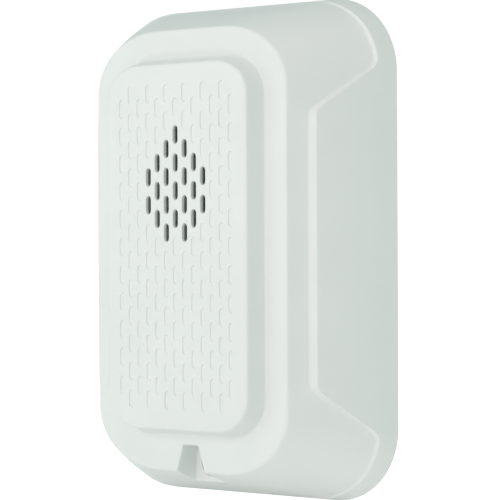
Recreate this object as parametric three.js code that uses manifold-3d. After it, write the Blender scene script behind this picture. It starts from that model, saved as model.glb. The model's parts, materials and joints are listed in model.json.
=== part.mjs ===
// Wall-mounted horn-type alarm sounder, as an assembly of separate parts.
//
// Units are millimetres. X runs to the right as seen from the room, Y runs into the wall and Z is up.
// The origin is the centre of the mounting plate's back face, which lies on the wall.
// Most places are given as a depth: the distance out from the wall, along -Y.

import * as THREE from 'three';
import { mergeVertices } from 'three/addons/utils/BufferGeometryUtils.js';
import Module from 'manifold-3d';

const wasm = await Module();
wasm.setup();

// ---------------------------------------------------------------- driving dimensions

const BODY_WIDTH = 119.4;
const BODY_HEIGHT = 142.2;
const BODY_DEPTH = 31.75;
const WALL_GAP = 1.25; // shadow gap between the wall and the housing's back edge
const PAD_RISE = 5.3; // how far the grille pad stands in front of the rim
const WALL_THICKNESS = 2.2;
const FIT_GAP = 0.3; // clearance between parts that move past each other
const SEAT_GAP = 0.05; // clearance between parts that rest on each other

// housing outline at its back edge, at the front rim, and around the grille pad; the corners are elliptical
const BACK = { halfWidth: BODY_WIDTH / 2, halfHeight: BODY_HEIGHT / 2, radiusX: 25, radiusZ: 21.4 };
const RIM = { halfWidth: 41.3, halfHeight: 63.5, radiusX: 26.6, radiusZ: 17.8 };
const PAD_FACE = { halfWidth: 30.55, halfHeight: 52.4, radiusX: 13.9, radiusZ: 9.6 };
const PAD_DRAFT = 1.8; // how much wider the pad is on each side where it meets the rim
const SKIRT_RISE = 1.6; // ramp that eases the pad's two ends into the rim
const SKIRT_REACH = 1.9;
const PAD_CENTRE_Z = 1.1;
const END_CROWN = 0.9; // how far the body's two ends bulge beyond a straight taper

const RIM_DEPTH = BODY_DEPTH - PAD_RISE;
const RIM_BACK = RIM_DEPTH - WALL_GAP; // rim height above the housing's back edge

// side wings: a raised panel on each long side that narrows to a flange round the back edge
const FLANGE_BACK = 4.85;
const WING_BACK = 20;
const WING_HALF_HEIGHT = 39;
const WING_FOOT_HALF_HEIGHT = 51.6;
const WING_TAPER = 0.48;
const WING_CROWN = 0.0052;

// grille: staggered columns of upright slots, with an open group above the middle
const GRILLE_PITCH = 4;
const SLOT_HALF_WIDTH = 1;
const SLOT_HALF_LENGTH = 2.55;
const OPEN_GROUP_LEVEL = 4.5;
const OPEN_COLUMNS = [
  { column: 0, lowest: 2, highest: 8 },
  { column: 1, lowest: 1, highest: 7 },
  { column: 2, lowest: 2, highest: 6 },
  { column: 3, lowest: 3, highest: 5 },
];

// screw notch in the lower rim, and the captive screw at its floor
const NOTCH_TOP_Z = -55.9;
const NOTCH_HALF_WIDTH = 3.6;
const NOTCH_FLARE = 0.36;
const NOTCH_FLOOR_DEPTH = 19;
const SCREW_Z = -61.8;
const SCREW_RADIUS = 1.75;
const SCREW_HEAD_RADIUS = 2.8;
const SCREW_HEAD_SEAT = 15.7;
const SCREW_HEAD_HEIGHT = 2;
const SCREW_TIP_DEPTH = 0.8;

// hinge line: two beads inside the housing's top wall sit in two cradles on the plate
const HINGE_DEPTH = 3.2;
const HINGE_Z = 67.9;
const HINGE_X = 26;
const BEAD_RADIUS = 1.1;
const BEAD_LENGTH = 10;
const CRADLE_LENGTH = 8;
const CRADLE_THICKNESS = 1.2;

// mounting plate
const PLATE = { halfWidth: 55, halfHeight: 65, radiusX: 20, radiusZ: 20 };
const PLATE_THICKNESS = 2.4;
const PLATE_LIP_WIDTH = 1.6;
const PLATE_LIP_DEPTH = 3.5;
const WIRE_OPENING = { halfWidth: 20, lowZ: 6, highZ: 34, radius: 3 };
const BOX_SCREW_Z = 41.65; // half of the 83.3 mm screw spacing of a single wall box
const BOX_SCREW_X = 23; // half of the 46 mm step between gangs
const BOX_SLOT_RADIUS = 2;
const BOX_SLOT_REACH = 2.6;

// rear cover
const COVER = { halfWidth: 52.4, halfHeight: 64, radiusX: 19.5, radiusZ: 19.5 };
const COVER_LIP_INSET = 1.8;
const COVER_LIP_WIDTH = 1.5;
const COVER_LIP_HEIGHT = 2.4;
const COVER_SCREW_SINK = 0.8;
const COVER_BACK_DEPTH = 4.5;
const COVER_THICKNESS = 2;
const COVER_FRONT_DEPTH = COVER_BACK_DEPTH + COVER_THICKNESS;
const COVER_SCREW_X = 36;
const COVER_SCREW_Z = 49;
const POCKET = { halfWidth: 25, lowZ: -34, highZ: -9.5, wall: 1.5, floorDepth: 12.8 };

// terminals
const TERMINAL_COUNT = 4;
const TERMINAL_PITCH = 10.6;
const BLOCK = {
  halfWidth: 23,
  lowZ: -32,
  highZ: -11.5,
  backDepth: PLATE_THICKNESS + SEAT_GAP,
  frontDepth: 10.8,
};
const TERMINAL_SCREW_Z = -26.8;
const CONTACT_Z = -16.4;

// circuit board and what it carries
const BOARD = { halfWidth: 41, halfHeight: 44, backDepth: 15.4, frontDepth: 17 };
const BOARD_SCREW_X = 37;
const BOARD_SCREW_Z = 38;
const SELECTOR_X = 27;
const SELECTOR_Z = 8;

// sounder
const SOUNDER_Z = PAD_CENTRE_Z + OPEN_GROUP_LEVEL * GRILLE_PITCH;
const CHAMBER_RADIUS = 22.1;
const CHAMBER_BACK_DEPTH = 21.5;
const CHAMBER_FRONT_DEPTH = 28.9;
const SHELF_DEPTH = 23.6;
const PIEZO_RADIUS = 20.3;
const CERAMIC_RADIUS = 12.5;

const FINE = 24; // sides of a large round part
const ROUND = 16; // sides of a small round part
const ARC_DIVISIONS = 4; // half the straight steps in each rounded corner

// ---------------------------------------------------------------- materials

const finish = (color, roughness, metalness = 0) => ({ color, roughness, metalness });
const WHITE_PLASTIC = finish(0xe2e8e3, 0.5);
const PLATE_PLASTIC = finish(0xd9dcd6, 0.55);
const BLACK_PLASTIC = finish(0x26282a, 0.5);
const BLACK_MESH = finish(0x17181a, 0.9);
const BOARD_GREEN = finish(0x1f5a36, 0.45);
const BRASS = finish(0xc79a4b, 0.35, 1);
const STEEL = finish(0xb9bcc0, 0.35, 1);
const CERAMIC = finish(0xe9e6dc, 0.5);
const FOAM = finish(0x3b3d40, 0.95);
const FERRITE = finish(0x3a3a3c, 0.7);
const WINDING_TAPE = finish(0xd2b53c, 0.5);
const RED_LEAD = finish(0xa8261f, 0.5);
const BLACK_LEAD = finish(0x1c1c1e, 0.5);

const assembly = new THREE.Group();
assembly.name = 'wall_sounder';

function part(name, shape, look) {
  const geometry = shape.isBufferGeometry ? shape : toGeometry(shape);
  const mesh = new THREE.Mesh(geometry, new THREE.MeshStandardMaterial(look));
  mesh.name = name;
  assembly.add(mesh);
}

// ---------------------------------------------------------------- solids

function toSolid(geometry) {
  const bare = geometry.clone();
  bare.deleteAttribute('normal');
  bare.deleteAttribute('uv');
  const merged = mergeVertices(bare, 1e-4);
  const vertProperties = new Float32Array(merged.attributes.position.array);
  const triVerts = new Uint32Array(merged.index.array);
  return new wasm.Manifold(new wasm.Mesh({ numProp: 3, vertProperties, triVerts }));
}

function toGeometry(solid) {
  const mesh = solid.getMesh();
  const geometry = new THREE.BufferGeometry();
  geometry.setAttribute('position', new THREE.BufferAttribute(new Float32Array(mesh.vertProperties), 3));
  geometry.setIndex(new THREE.BufferAttribute(new Uint32Array(mesh.triVerts), 1));
  geometry.computeVertexNormals();
  return geometry;
}

const join = (...solids) => solids.reduce((whole, next) => whole.add(next));
const cut = (solid, ...tools) => tools.reduce((whole, tool) => whole.subtract(tool), solid);

// box between two X, two depths and two Z
function box(x0, x1, depth0, depth1, z0, z1) {
  const geometry = new THREE.BoxGeometry(x1 - x0, depth1 - depth0, z1 - z0);
  geometry.translate((x0 + x1) / 2, -(depth0 + depth1) / 2, (z0 + z1) / 2);
  return toSolid(geometry);
}

// box of a given half width and half height round a place
function centredBox(x, z, halfWidth, halfHeight, depth0, depth1) {
  return box(x - halfWidth, x + halfWidth, depth0, depth1, z - halfHeight, z + halfHeight);
}

// round bar whose axis runs out from the wall
function rod(radius, depth0, depth1, x, z, sides = ROUND) {
  const geometry = new THREE.CylinderGeometry(radius, radius, depth1 - depth0, sides);
  geometry.translate(x, -(depth0 + depth1) / 2, z);
  return toSolid(geometry);
}

// flat shape drawn in X and Z, given thickness between two depths
function slab(shape, depth0, depth1, curveSegments = ARC_DIVISIONS) {
  const settings = { depth: depth1 - depth0, bevelEnabled: false, curveSegments };
  const geometry = new THREE.ExtrudeGeometry(shape, settings);
  geometry.rotateX(Math.PI / 2);
  geometry.translate(0, -depth0, 0);
  return toSolid(geometry);
}

// flat shape drawn in depth and Z, given a width along X
function bar(shape, x0, x1, curveSegments = ARC_DIVISIONS) {
  const settings = { depth: x1 - x0, bevelEnabled: false, curveSegments };
  const geometry = new THREE.ExtrudeGeometry(shape, settings);
  geometry.applyMatrix4(new THREE.Matrix4().set(0, 0, 1, x0, -1, 0, 0, 0, 0, 1, 0, 0, 0, 0, 0, 1));
  return toSolid(flipWhereMirrored(geometry));
}

// the map from (depth, Z, X) to (X, Y, Z) mirrors the shape, so its faces are turned round
function flipWhereMirrored(geometry) {
  const flat = geometry.index ? geometry.toNonIndexed() : geometry;
  const position = flat.attributes.position;
  const a = new THREE.Vector3();
  const b = new THREE.Vector3();
  for (let i = 0; i < position.count; i += 3) {
    a.fromBufferAttribute(position, i + 1);
    b.fromBufferAttribute(position, i + 2);
    position.setXYZ(i + 1, b.x, b.y, b.z);
    position.setXYZ(i + 2, a.x, a.y, a.z);
  }
  return flat;
}

// ring or stepped disc turned from a profile of [radius, depth] points, about an axis out from the wall
function turned(profile, x, z, sides = FINE) {
  const points = profile.map(([radius, depth]) => new THREE.Vector2(radius, -depth));
  const geometry = new THREE.LatheGeometry([...points, points[0]], sides);
  geometry.translate(x, 0, z);
  const solid = toSolid(geometry);
  return solid.volume() < 0 ? toSolid(flipWhereMirrored(geometry)) : solid;
}

// ---------------------------------------------------------------- outlines

// rectangle with elliptical corners, round ones unless a second radius is given
function roundedShape(halfWidth, lowZ, highZ, radiusX, radiusZ = radiusX) {
  const shape = new THREE.Shape();
  const side = halfWidth - radiusX;
  const top = highZ - radiusZ;
  const bottom = lowZ + radiusZ;
  const quarter = Math.PI / 2;
  shape.absellipse(side, top, radiusX, radiusZ, 0, quarter, false, 0);
  shape.absellipse(-side, top, radiusX, radiusZ, quarter, 2 * quarter, false, 0);
  shape.absellipse(-side, bottom, radiusX, radiusZ, 2 * quarter, 3 * quarter, false, 0);
  shape.absellipse(side, bottom, radiusX, radiusZ, 3 * quarter, 4 * quarter, false, 0);
  shape.closePath();
  return shape;
}

const widened = (outline, amount) => ({
  halfWidth: outline.halfWidth + amount,
  halfHeight: outline.halfHeight + amount,
  radiusX: outline.radiusX + amount,
  radiusZ: outline.radiusZ + amount,
});

function outlineShape(outline, centreZ = 0) {
  const { halfWidth, halfHeight, radiusX, radiusZ } = outline;
  return roundedShape(halfWidth, centreZ - halfHeight, centreZ + halfHeight, radiusX, radiusZ);
}

// upright slot with round ends
function slotShape(x, z, radius, reach) {
  const shape = new THREE.Shape();
  shape.absarc(x, z + reach, radius, 0, Math.PI, false);
  shape.absarc(x, z - reach, radius, Math.PI, 2 * Math.PI, false);
  shape.closePath();
  return shape;
}

// solid whose rounded-rectangle outline changes from one depth to the next
function loft(sections, centreZ = 0) {
  const positions = [];
  const index = [];
  for (const section of sections) {
    const outline = outlineShape(section, centreZ).getPoints(ARC_DIVISIONS).slice(0, -1);
    for (const point of outline) positions.push(point.x, -section.depth, point.y);
  }
  const count = positions.length / 3 / sections.length;
  const last = (sections.length - 1) * count;
  for (let s = 0; s < sections.length - 1; s += 1) {
    for (let i = 0; i < count; i += 1) {
      const a = s * count + i;
      const b = s * count + ((i + 1) % count);
      index.push(a, b, b + count, a, b + count, a + count);
    }
  }
  for (let i = 1; i < count - 1; i += 1) {
    index.push(0, i + 1, i);
    index.push(last, last + i, last + i + 1);
  }
  const geometry = new THREE.BufferGeometry();
  geometry.setAttribute('position', new THREE.Float32BufferAttribute(positions, 3));
  geometry.setIndex(index);
  const solid = toSolid(geometry);
  return solid.volume() < 0 ? toSolid(flipWhereMirrored(geometry)) : solid;
}

const mix = THREE.MathUtils.lerp;
const SIDE_SLANT = 1.2; // sideways width of a slanted long side, for each millimetre of its thickness

// outline of the main tapered body, at a distance in front of the housing's back edge
function podSection(back, inset = 0) {
  const t = back / RIM_BACK;
  const crown = 4 * END_CROWN * Math.max(t, 0) * (1 - t);
  return {
    depth: WALL_GAP + back,
    halfWidth: mix(BACK.halfWidth, RIM.halfWidth, t) - SIDE_SLANT * inset,
    halfHeight: mix(BACK.halfHeight, RIM.halfHeight, t) + crown - inset,
    radiusX: mix(BACK.radiusX, RIM.radiusX, t) - inset,
    radiusZ: mix(BACK.radiusZ, RIM.radiusZ, t) - inset,
  };
}

// outline of the wings and flange, which stand just outside the tapered body
function wingSection(back, inset = 0) {
  const halfWidth = BACK.halfWidth - WING_TAPER * back - WING_CROWN * back * back;
  return { ...podSection(back, inset), halfWidth: halfWidth - SIDE_SLANT * inset };
}

// side view of the wings and flange: low all round the edge, high between the two slanted ends
function wingSideShape(inset = 0) {
  const foot = WING_FOOT_HALF_HEIGHT - inset;
  const top = WING_HALF_HEIGHT - inset;
  const low = WALL_GAP + FLANGE_BACK - inset;
  const high = WALL_GAP + WING_BACK - inset;
  const beyond = BODY_HEIGHT;
  const shape = new THREE.Shape();
  shape.moveTo(-1, -beyond);
  shape.lineTo(low, -beyond);
  shape.lineTo(low, -foot);
  shape.lineTo(high - 1.6, -top - 1.3);
  shape.quadraticCurveTo(high, -top, high, -top + 2.4);
  shape.lineTo(high, top - 2.4);
  shape.quadraticCurveTo(high, top, high - 1.6, top + 1.3);
  shape.lineTo(low, foot);
  shape.lineTo(low, beyond);
  shape.lineTo(-1, beyond);
  shape.closePath();
  return shape;
}

// ---------------------------------------------------------------- front housing

function housingBlock(inset) {
  const backMost = inset > 0 ? -1 : 0;
  const backs = [backMost, FLANGE_BACK, WING_BACK / 2, 0.75 * WING_BACK, WING_BACK];
  const pod = loft([...backs, RIM_BACK - inset].map((back) => podSection(back, inset)));
  const wings = loft(backs.map((back) => wingSection(back, inset)));
  const reach = BACK.halfWidth + 1;
  return pod.add(wings.intersect(bar(wingSideShape(inset), -reach, reach, 3)));
}

function padBlock(inset) {
  const base = RIM_DEPTH - WALL_THICKNESS - 1;
  const slope = PAD_DRAFT / PAD_RISE;
  const section = (depth) => ({ depth, ...widened(PAD_FACE, (BODY_DEPTH - depth) * slope - inset) });
  return loft([section(base), section(BODY_DEPTH - inset)], PAD_CENTRE_Z);
}

// shallow ramp at the pad's top and bottom ends
function skirt() {
  const footing = PAD_FACE.halfHeight + PAD_DRAFT;
  const low = { halfWidth: 31.9, halfHeight: footing + SKIRT_REACH, radiusX: 20, radiusZ: 12.5 };
  const high = { halfWidth: 31.3, halfHeight: footing - 0.5, radiusX: 18, radiusZ: 10.5 };
  return loft([
    { depth: RIM_DEPTH - 1, ...low },
    { depth: RIM_DEPTH, ...low },
    { depth: RIM_DEPTH + SKIRT_RISE, ...high },
  ], PAD_CENTRE_Z);
}

function openSlots() {
  const slots = [];
  for (const { column, lowest, highest } of OPEN_COLUMNS) {
    const sides = column === 0 ? [0] : [-column, column];
    for (const side of sides) {
      for (let level = lowest; level <= highest; level += 2) {
        const x = side * GRILLE_PITCH;
        const z = PAD_CENTRE_Z + level * GRILLE_PITCH;
        const shape = slotShape(x, z, SLOT_HALF_WIDTH, SLOT_HALF_LENGTH - SLOT_HALF_WIDTH);
        slots.push(slab(shape, BODY_DEPTH - WALL_THICKNESS - 1, BODY_DEPTH + 1, 3));
      }
    }
  }
  return join(...slots);
}

function notchShape(margin = 0) {
  const top = NOTCH_TOP_Z + margin;
  const half = NOTCH_HALF_WIDTH + margin;
  const low = -BODY_HEIGHT / 2 - 3;
  const lowHalf = half + (top - low) * NOTCH_FLARE;
  const round = 0.9;
  const shape = new THREE.Shape();
  shape.moveTo(-lowHalf, low);
  shape.lineTo(lowHalf, low);
  shape.lineTo(half, top - round);
  shape.quadraticCurveTo(half, top, half - round, top);
  shape.lineTo(-half + round, top);
  shape.quadraticCurveTo(-half, top, -half, top - round);
  shape.closePath();
  return shape;
}

// post inside the front wall, with a blind hole for a screw
function screwPost(x, z, { radius, screwRadius, backDepth, screwTip }) {
  const frontDepth = RIM_DEPTH - WALL_THICKNESS + 0.5;
  const post = rod(radius, backDepth, frontDepth, x, z);
  return cut(post, rod(screwRadius + FIT_GAP, backDepth - 1, screwTip + 1, x, z, 12));
}

const fourCorners = (x, z) => [[x, z], [-x, z], [-x, -z], [x, -z]];

const COVER_POST = { radius: 3.4, screwRadius: 1.3, backDepth: COVER_FRONT_DEPTH + SEAT_GAP, screwTip: 14 };
const BOARD_POST = { radius: 2.8, screwRadius: 1.1, backDepth: BOARD.frontDepth + SEAT_GAP, screwTip: 21 };
const COLLAR = { inner: 22.5, outer: 24, backDepth: 24, frontDepth: 30 }; // wall round the sounder chamber
const SCREW_TUBE_RADIUS = 5.2;
const SCREW_TUBE_BACK_DEPTH = 8.4;

function frontHousing() {
  const outside = join(housingBlock(0), padBlock(0), skirt());
  const inside = join(housingBlock(WALL_THICKNESS), padBlock(WALL_THICKNESS));
  const pocketBack = NOTCH_FLOOR_DEPTH - WALL_THICKNESS;
  const pocket = slab(notchShape(WALL_THICKNESS), pocketBack, RIM_DEPTH, 2).intersect(outside);
  const tube = rod(SCREW_TUBE_RADIUS, SCREW_TUBE_BACK_DEPTH, pocketBack + 0.5, 0, SCREW_Z, FINE);
  const collar = washer(COLLAR.inner, COLLAR.outer, COLLAR.backDepth, COLLAR.frontDepth, 0, SOUNDER_Z, 32);
  const coverPosts = fourCorners(COVER_SCREW_X, COVER_SCREW_Z).map(([x, z]) => screwPost(x, z, COVER_POST));
  const boardPosts = fourCorners(BOARD_SCREW_X, BOARD_SCREW_Z).map(([x, z]) => screwPost(x, z, BOARD_POST));
  const shell = cut(outside, inside);
  const posts = [...coverPosts, ...boardPosts];
  const whole = join(shell, pocket, tube.intersect(outside), collar, ...posts, ...hingeBeads());
  return cut(
    whole,
    slab(notchShape(), NOTCH_FLOOR_DEPTH, BODY_DEPTH, 3),
    rod(SCREW_RADIUS + 0.4, 0, BODY_DEPTH, 0, SCREW_Z),
    rod(SCREW_HEAD_RADIUS + 0.4, SCREW_HEAD_SEAT - FIT_GAP, BODY_DEPTH, 0, SCREW_Z, FINE),
    openSlots(),
  );
}

// round beads, each on a short web under the top wall
function hingeBeads() {
  return [-HINGE_X, HINGE_X].map((x) => {
    const bead = new THREE.CylinderGeometry(BEAD_RADIUS, BEAD_RADIUS, BEAD_LENGTH, ROUND);
    bead.rotateZ(Math.PI / 2);
    bead.translate(x, -HINGE_DEPTH, HINGE_Z);
    const half = BEAD_LENGTH / 2;
    const web = box(x - half, x + half, HINGE_DEPTH - 1, HINGE_DEPTH + 1, HINGE_Z, HINGE_Z + 1.2);
    return toSolid(bead).add(web);
  });
}

part('front_housing', frontHousing(), WHITE_PLASTIC);

// ---------------------------------------------------------------- sounder behind the open slots

part('dust_screen', rod(19.5, 29.15, 29.45, 0, SOUNDER_Z, FINE), BLACK_MESH);

function sounderChamber() {
  const wall = 1.5;
  return turned([
    [6, CHAMBER_FRONT_DEPTH],
    [6, CHAMBER_FRONT_DEPTH - wall],
    [PIEZO_RADIUS - wall, CHAMBER_FRONT_DEPTH - wall],
    [PIEZO_RADIUS - wall, SHELF_DEPTH],
    [PIEZO_RADIUS + FIT_GAP, SHELF_DEPTH],
    [PIEZO_RADIUS + FIT_GAP, CHAMBER_BACK_DEPTH],
    [CHAMBER_RADIUS, CHAMBER_BACK_DEPTH],
    [CHAMBER_RADIUS, CHAMBER_FRONT_DEPTH],
  ], 0, SOUNDER_Z, 32);
}

const GASKET_BACK_DEPTH = 23;
const BRASS_BACK_DEPTH = 22.7;
const CERAMIC_BACK_DEPTH = 22.4;

function washer(innerRadius, outerRadius, backDepth, frontDepth, x, z, sides = FINE) {
  return turned([
    [innerRadius, backDepth],
    [outerRadius, backDepth],
    [outerRadius, frontDepth],
    [innerRadius, frontDepth],
  ], x, z, sides);
}

part('sounder_chamber', sounderChamber(), BLACK_PLASTIC);
part(
  'piezo_gasket',
  washer(PIEZO_RADIUS - 1.4, PIEZO_RADIUS, GASKET_BACK_DEPTH, SHELF_DEPTH - SEAT_GAP, 0, SOUNDER_Z),
  FOAM,
);
part(
  'piezo_brass_disc',
  rod(PIEZO_RADIUS, BRASS_BACK_DEPTH, GASKET_BACK_DEPTH - SEAT_GAP, 0, SOUNDER_Z, FINE),
  BRASS,
);
part(
  'piezo_ceramic',
  rod(CERAMIC_RADIUS, CERAMIC_BACK_DEPTH, BRASS_BACK_DEPTH - SEAT_GAP, 0, SOUNDER_Z, FINE),
  CERAMIC,
);
part(
  'sounder_retainer',
  washer(PIEZO_RADIUS - 1.6, PIEZO_RADIUS, CHAMBER_BACK_DEPTH, BRASS_BACK_DEPTH - SEAT_GAP, 0, SOUNDER_Z),
  BLACK_PLASTIC,
);

// the two leads from the piezo element to the board
function lead(from, to) {
  const [x0, depth0, z0] = from;
  const [x1, depth1, z1] = to;
  const route = new THREE.CatmullRomCurve3([
    new THREE.Vector3(x0, -depth0, z0),
    new THREE.Vector3(mix(x0, x1, 0.25), -depth0 + 1.2, z0),
    new THREE.Vector3(mix(x0, x1, 0.75), -depth1 - 1.2, z1),
    new THREE.Vector3(x1, -depth1, z1),
  ]);
  const section = new THREE.Shape();
  section.absarc(0, 0, 0.45, 0, 2 * Math.PI, false);
  const settings = { steps: 14, extrudePath: route, bevelEnabled: false, curveSegments: 4 };
  return toSolid(new THREE.ExtrudeGeometry(section, settings));
}

const BOARD_LANDING = BOARD.frontDepth + FIT_GAP;
const CERAMIC_TAIL = [5, CERAMIC_BACK_DEPTH - FIT_GAP, SOUNDER_Z];
const BRASS_TAIL = [-15.5, BRASS_BACK_DEPTH - FIT_GAP, SOUNDER_Z];
part('piezo_lead_red', lead(CERAMIC_TAIL, [14, BOARD_LANDING, SOUNDER_Z + 3]), RED_LEAD);
part('piezo_lead_black', lead(BRASS_TAIL, [-6, BOARD_LANDING, SOUNDER_Z - 3]), BLACK_LEAD);

// ---------------------------------------------------------------- circuit board

function circuitBoard() {
  const shape = roundedShape(BOARD.halfWidth, -BOARD.halfHeight, BOARD.halfHeight, 2);
  const board = slab(shape, BOARD.backDepth, BOARD.frontDepth, 2);
  const holes = fourCorners(BOARD_SCREW_X, BOARD_SCREW_Z).map(([x, z]) =>
    rod(BOARD_POST.screwRadius + FIT_GAP, BOARD.backDepth - 1, BOARD.frontDepth + 1, x, z, 12));
  return cut(board, ...holes);
}

part('circuit_board', circuitBoard(), BOARD_GREEN);

// E-shaped transformer core around a wound bobbin
const CORE = { x: -13, z: -24, halfWidth: 9, halfHeight: 7.5, rise: 10 };
const COMPONENT_SEAT = BOARD.frontDepth + SEAT_GAP;

function transformerCore() {
  const top = COMPONENT_SEAT + CORE.rise;
  const core = box(CORE.x - CORE.halfWidth, CORE.x + CORE.halfWidth, COMPONENT_SEAT + 1.2, top,
    CORE.z - CORE.halfHeight, CORE.z + CORE.halfHeight);
  const window = (side) => box(CORE.x + side * 4.5 - 2, CORE.x + side * 4.5 + 2, COMPONENT_SEAT,
    top + 1, CORE.z - 5, CORE.z + 5);
  return cut(core, window(-1), window(1));
}

function transformerWinding() {
  const outer = box(CORE.x - 6.1, CORE.x + 6.1, COMPONENT_SEAT + 2, COMPONENT_SEAT + CORE.rise - 0.8,
    CORE.z - 4.7, CORE.z + 4.7);
  const leg = box(CORE.x - 2.8, CORE.x + 2.8, COMPONENT_SEAT, COMPONENT_SEAT + CORE.rise + 1,
    CORE.z - 6, CORE.z + 6);
  return [
    outer.subtract(leg).intersect(box(CORE.x, CORE.x + 10, 0, BODY_DEPTH, CORE.z - 9, CORE.z + 9)),
    outer.subtract(leg).intersect(box(CORE.x - 10, CORE.x, 0, BODY_DEPTH, CORE.z - 9, CORE.z + 9)),
  ];
}

part('transformer_core', transformerCore(), FERRITE);
transformerWinding().forEach((winding, i) => part(`transformer_winding_${i + 1}`, winding, WINDING_TAPE));

// round can with a rolled shoulder, standing on the board
function capacitor(x, z) {
  const radius = 4;
  const top = COMPONENT_SEAT + 10.5;
  return turned([
    [0, COMPONENT_SEAT],
    [radius, COMPONENT_SEAT],
    [radius, COMPONENT_SEAT + 1],
    [radius - 0.4, COMPONENT_SEAT + 1.5],
    [radius, COMPONENT_SEAT + 2],
    [radius, top - 0.5],
    [radius - 0.5, top],
    [0, top],
  ], x, z, ROUND);
}

part('capacitor_1', capacitor(8, -18), BLACK_PLASTIC);
part('capacitor_2', capacitor(8, -29), BLACK_PLASTIC);

function powerTransistor(x, z) {
  const body = box(x - 5, x + 5, COMPONENT_SEAT + 1.5, COMPONENT_SEAT + 9, z - 2.2, z + 2.2);
  const tab = box(x - 5, x + 5, COMPONENT_SEAT + 8.5, COMPONENT_SEAT + 12, z + 1, z + 2.2);
  const pins = [-2.5, 0, 2.5].map((dx) =>
    box(x + dx - 0.4, x + dx + 0.4, COMPONENT_SEAT, COMPONENT_SEAT + 2, z - 0.3, z + 0.3));
  return join(body, tab, ...pins);
}

function controllerChip(x, z) {
  const body = box(x - 5, x + 5, COMPONENT_SEAT + 0.3, COMPONENT_SEAT + 2, z - 2, z + 2);
  const legs = [-3.8, -1.27, 1.27, 3.8].map((dx) =>
    box(x + dx - 0.25, x + dx + 0.25, COMPONENT_SEAT, COMPONENT_SEAT + 0.9, z - 3.2, z + 3.2));
  return join(body, ...legs);
}

part('power_transistor', powerTransistor(20, -24), BLACK_PLASTIC);
part('controller_chip', controllerChip(0, -38), BLACK_PLASTIC);

// ---------------------------------------------------------------- tone selector

const SELECTOR_BACK_DEPTH = 8;
const ROTOR_RADIUS = 3.3;
const ROTOR_STEM_RADIUS = 1.2;
const ROTOR_BACK_DEPTH = 5;

function selectorBody() {
  const half = 5.5;
  const body = box(SELECTOR_X - half, SELECTOR_X + half, SELECTOR_BACK_DEPTH,
    BOARD.backDepth - SEAT_GAP, SELECTOR_Z - half, SELECTOR_Z + half);
  const stemHole = rod(ROTOR_STEM_RADIUS + FIT_GAP, 0, SELECTOR_BACK_DEPTH + 3, SELECTOR_X, SELECTOR_Z, 12);
  return body.subtract(stemHole);
}

function selectorRotor() {
  const frontDepth = SELECTOR_BACK_DEPTH - FIT_GAP;
  const knob = rod(ROTOR_RADIUS, ROTOR_BACK_DEPTH, frontDepth, SELECTOR_X, SELECTOR_Z, FINE);
  const stem = rod(ROTOR_STEM_RADIUS, frontDepth - 1, frontDepth + 2.5, SELECTOR_X, SELECTOR_Z, 12);
  const slot = box(SELECTOR_X - 0.5, SELECTOR_X + 0.5, 0, ROTOR_BACK_DEPTH + 1.2,
    SELECTOR_Z - ROTOR_RADIUS, SELECTOR_Z + ROTOR_RADIUS);
  return knob.add(stem).subtract(slot);
}

part('selector_body', selectorBody(), BLACK_PLASTIC);
part('selector_rotor', selectorRotor(), WHITE_PLASTIC);

// ---------------------------------------------------------------- rear cover

const terminalX = (i) => (i - (TERMINAL_COUNT - 1) / 2) * TERMINAL_PITCH;
const terminals = Array.from({ length: TERMINAL_COUNT }, (_, i) => terminalX(i));
const PIN = { halfWidth: 0.4, halfHeight: 1.2, backDepth: 6.2 };
const COVER_HEAD_RADIUS = 2.8;
const BOARD_HEAD_RADIUS = 2.4;
const RING_RADIUS = 3.1;

// round-ended opening round the captive screw that runs out through the cover's lower edge
function edgeNotch(radius, backDepth) {
  return join(
    rod(radius, backDepth, BODY_DEPTH, 0, SCREW_Z, FINE),
    box(-radius, radius, backDepth, BODY_DEPTH, SCREW_Z - 10, SCREW_Z),
  );
}

function rearCover() {
  const plate = slab(outlineShape(COVER), COVER_BACK_DEPTH, COVER_FRONT_DEPTH);
  const lipOutside = outlineShape(widened(COVER, -COVER_LIP_INSET));
  const lipInside = outlineShape(widened(COVER, -COVER_LIP_INSET - COVER_LIP_WIDTH));
  const lip = cut(
    slab(lipOutside, COVER_BACK_DEPTH + 1, COVER_FRONT_DEPTH + COVER_LIP_HEIGHT),
    slab(lipInside, 0, BODY_DEPTH),
  );
  const wall = POCKET.wall;
  const pocketBlock = box(-POCKET.halfWidth - wall, POCKET.halfWidth + wall, COVER_BACK_DEPTH + 1,
    POCKET.floorDepth + wall, POCKET.lowZ - wall, POCKET.highZ + wall);
  const { halfWidth, lowZ, highZ, floorDepth } = POCKET;
  const pocketSpace = box(-halfWidth, halfWidth, 0, floorDepth, lowZ, highZ);
  const pinHoles = terminals.map((x) =>
    centredBox(x, CONTACT_Z, PIN.halfWidth + 0.5, PIN.halfHeight + 0.8, 0, BODY_DEPTH));
  const screwHoles = fourCorners(COVER_SCREW_X, COVER_SCREW_Z).flatMap(([x, z]) => [
    rod(COVER_POST.screwRadius + FIT_GAP, 0, BODY_DEPTH, x, z, 12),
    rod(COVER_HEAD_RADIUS + 0.4, 0, COVER_BACK_DEPTH + COVER_SCREW_SINK, x, z),
  ]);
  const ringSpace = edgeNotch(RING_RADIUS + 0.8, 0);
  const tubeSpace = edgeNotch(SCREW_TUBE_RADIUS + FIT_GAP, SCREW_TUBE_BACK_DEPTH - FIT_GAP);
  const rotorHole = rod(ROTOR_RADIUS + 0.5, 0, BODY_DEPTH, SELECTOR_X, SELECTOR_Z, FINE);
  const tray = join(plate, lip, pocketBlock);
  return cut(tray, pocketSpace, ...pinHoles, ...screwHoles, ringSpace, tubeSpace, rotorHole);
}

part('rear_cover', rearCover(), PLATE_PLASTIC);

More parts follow.
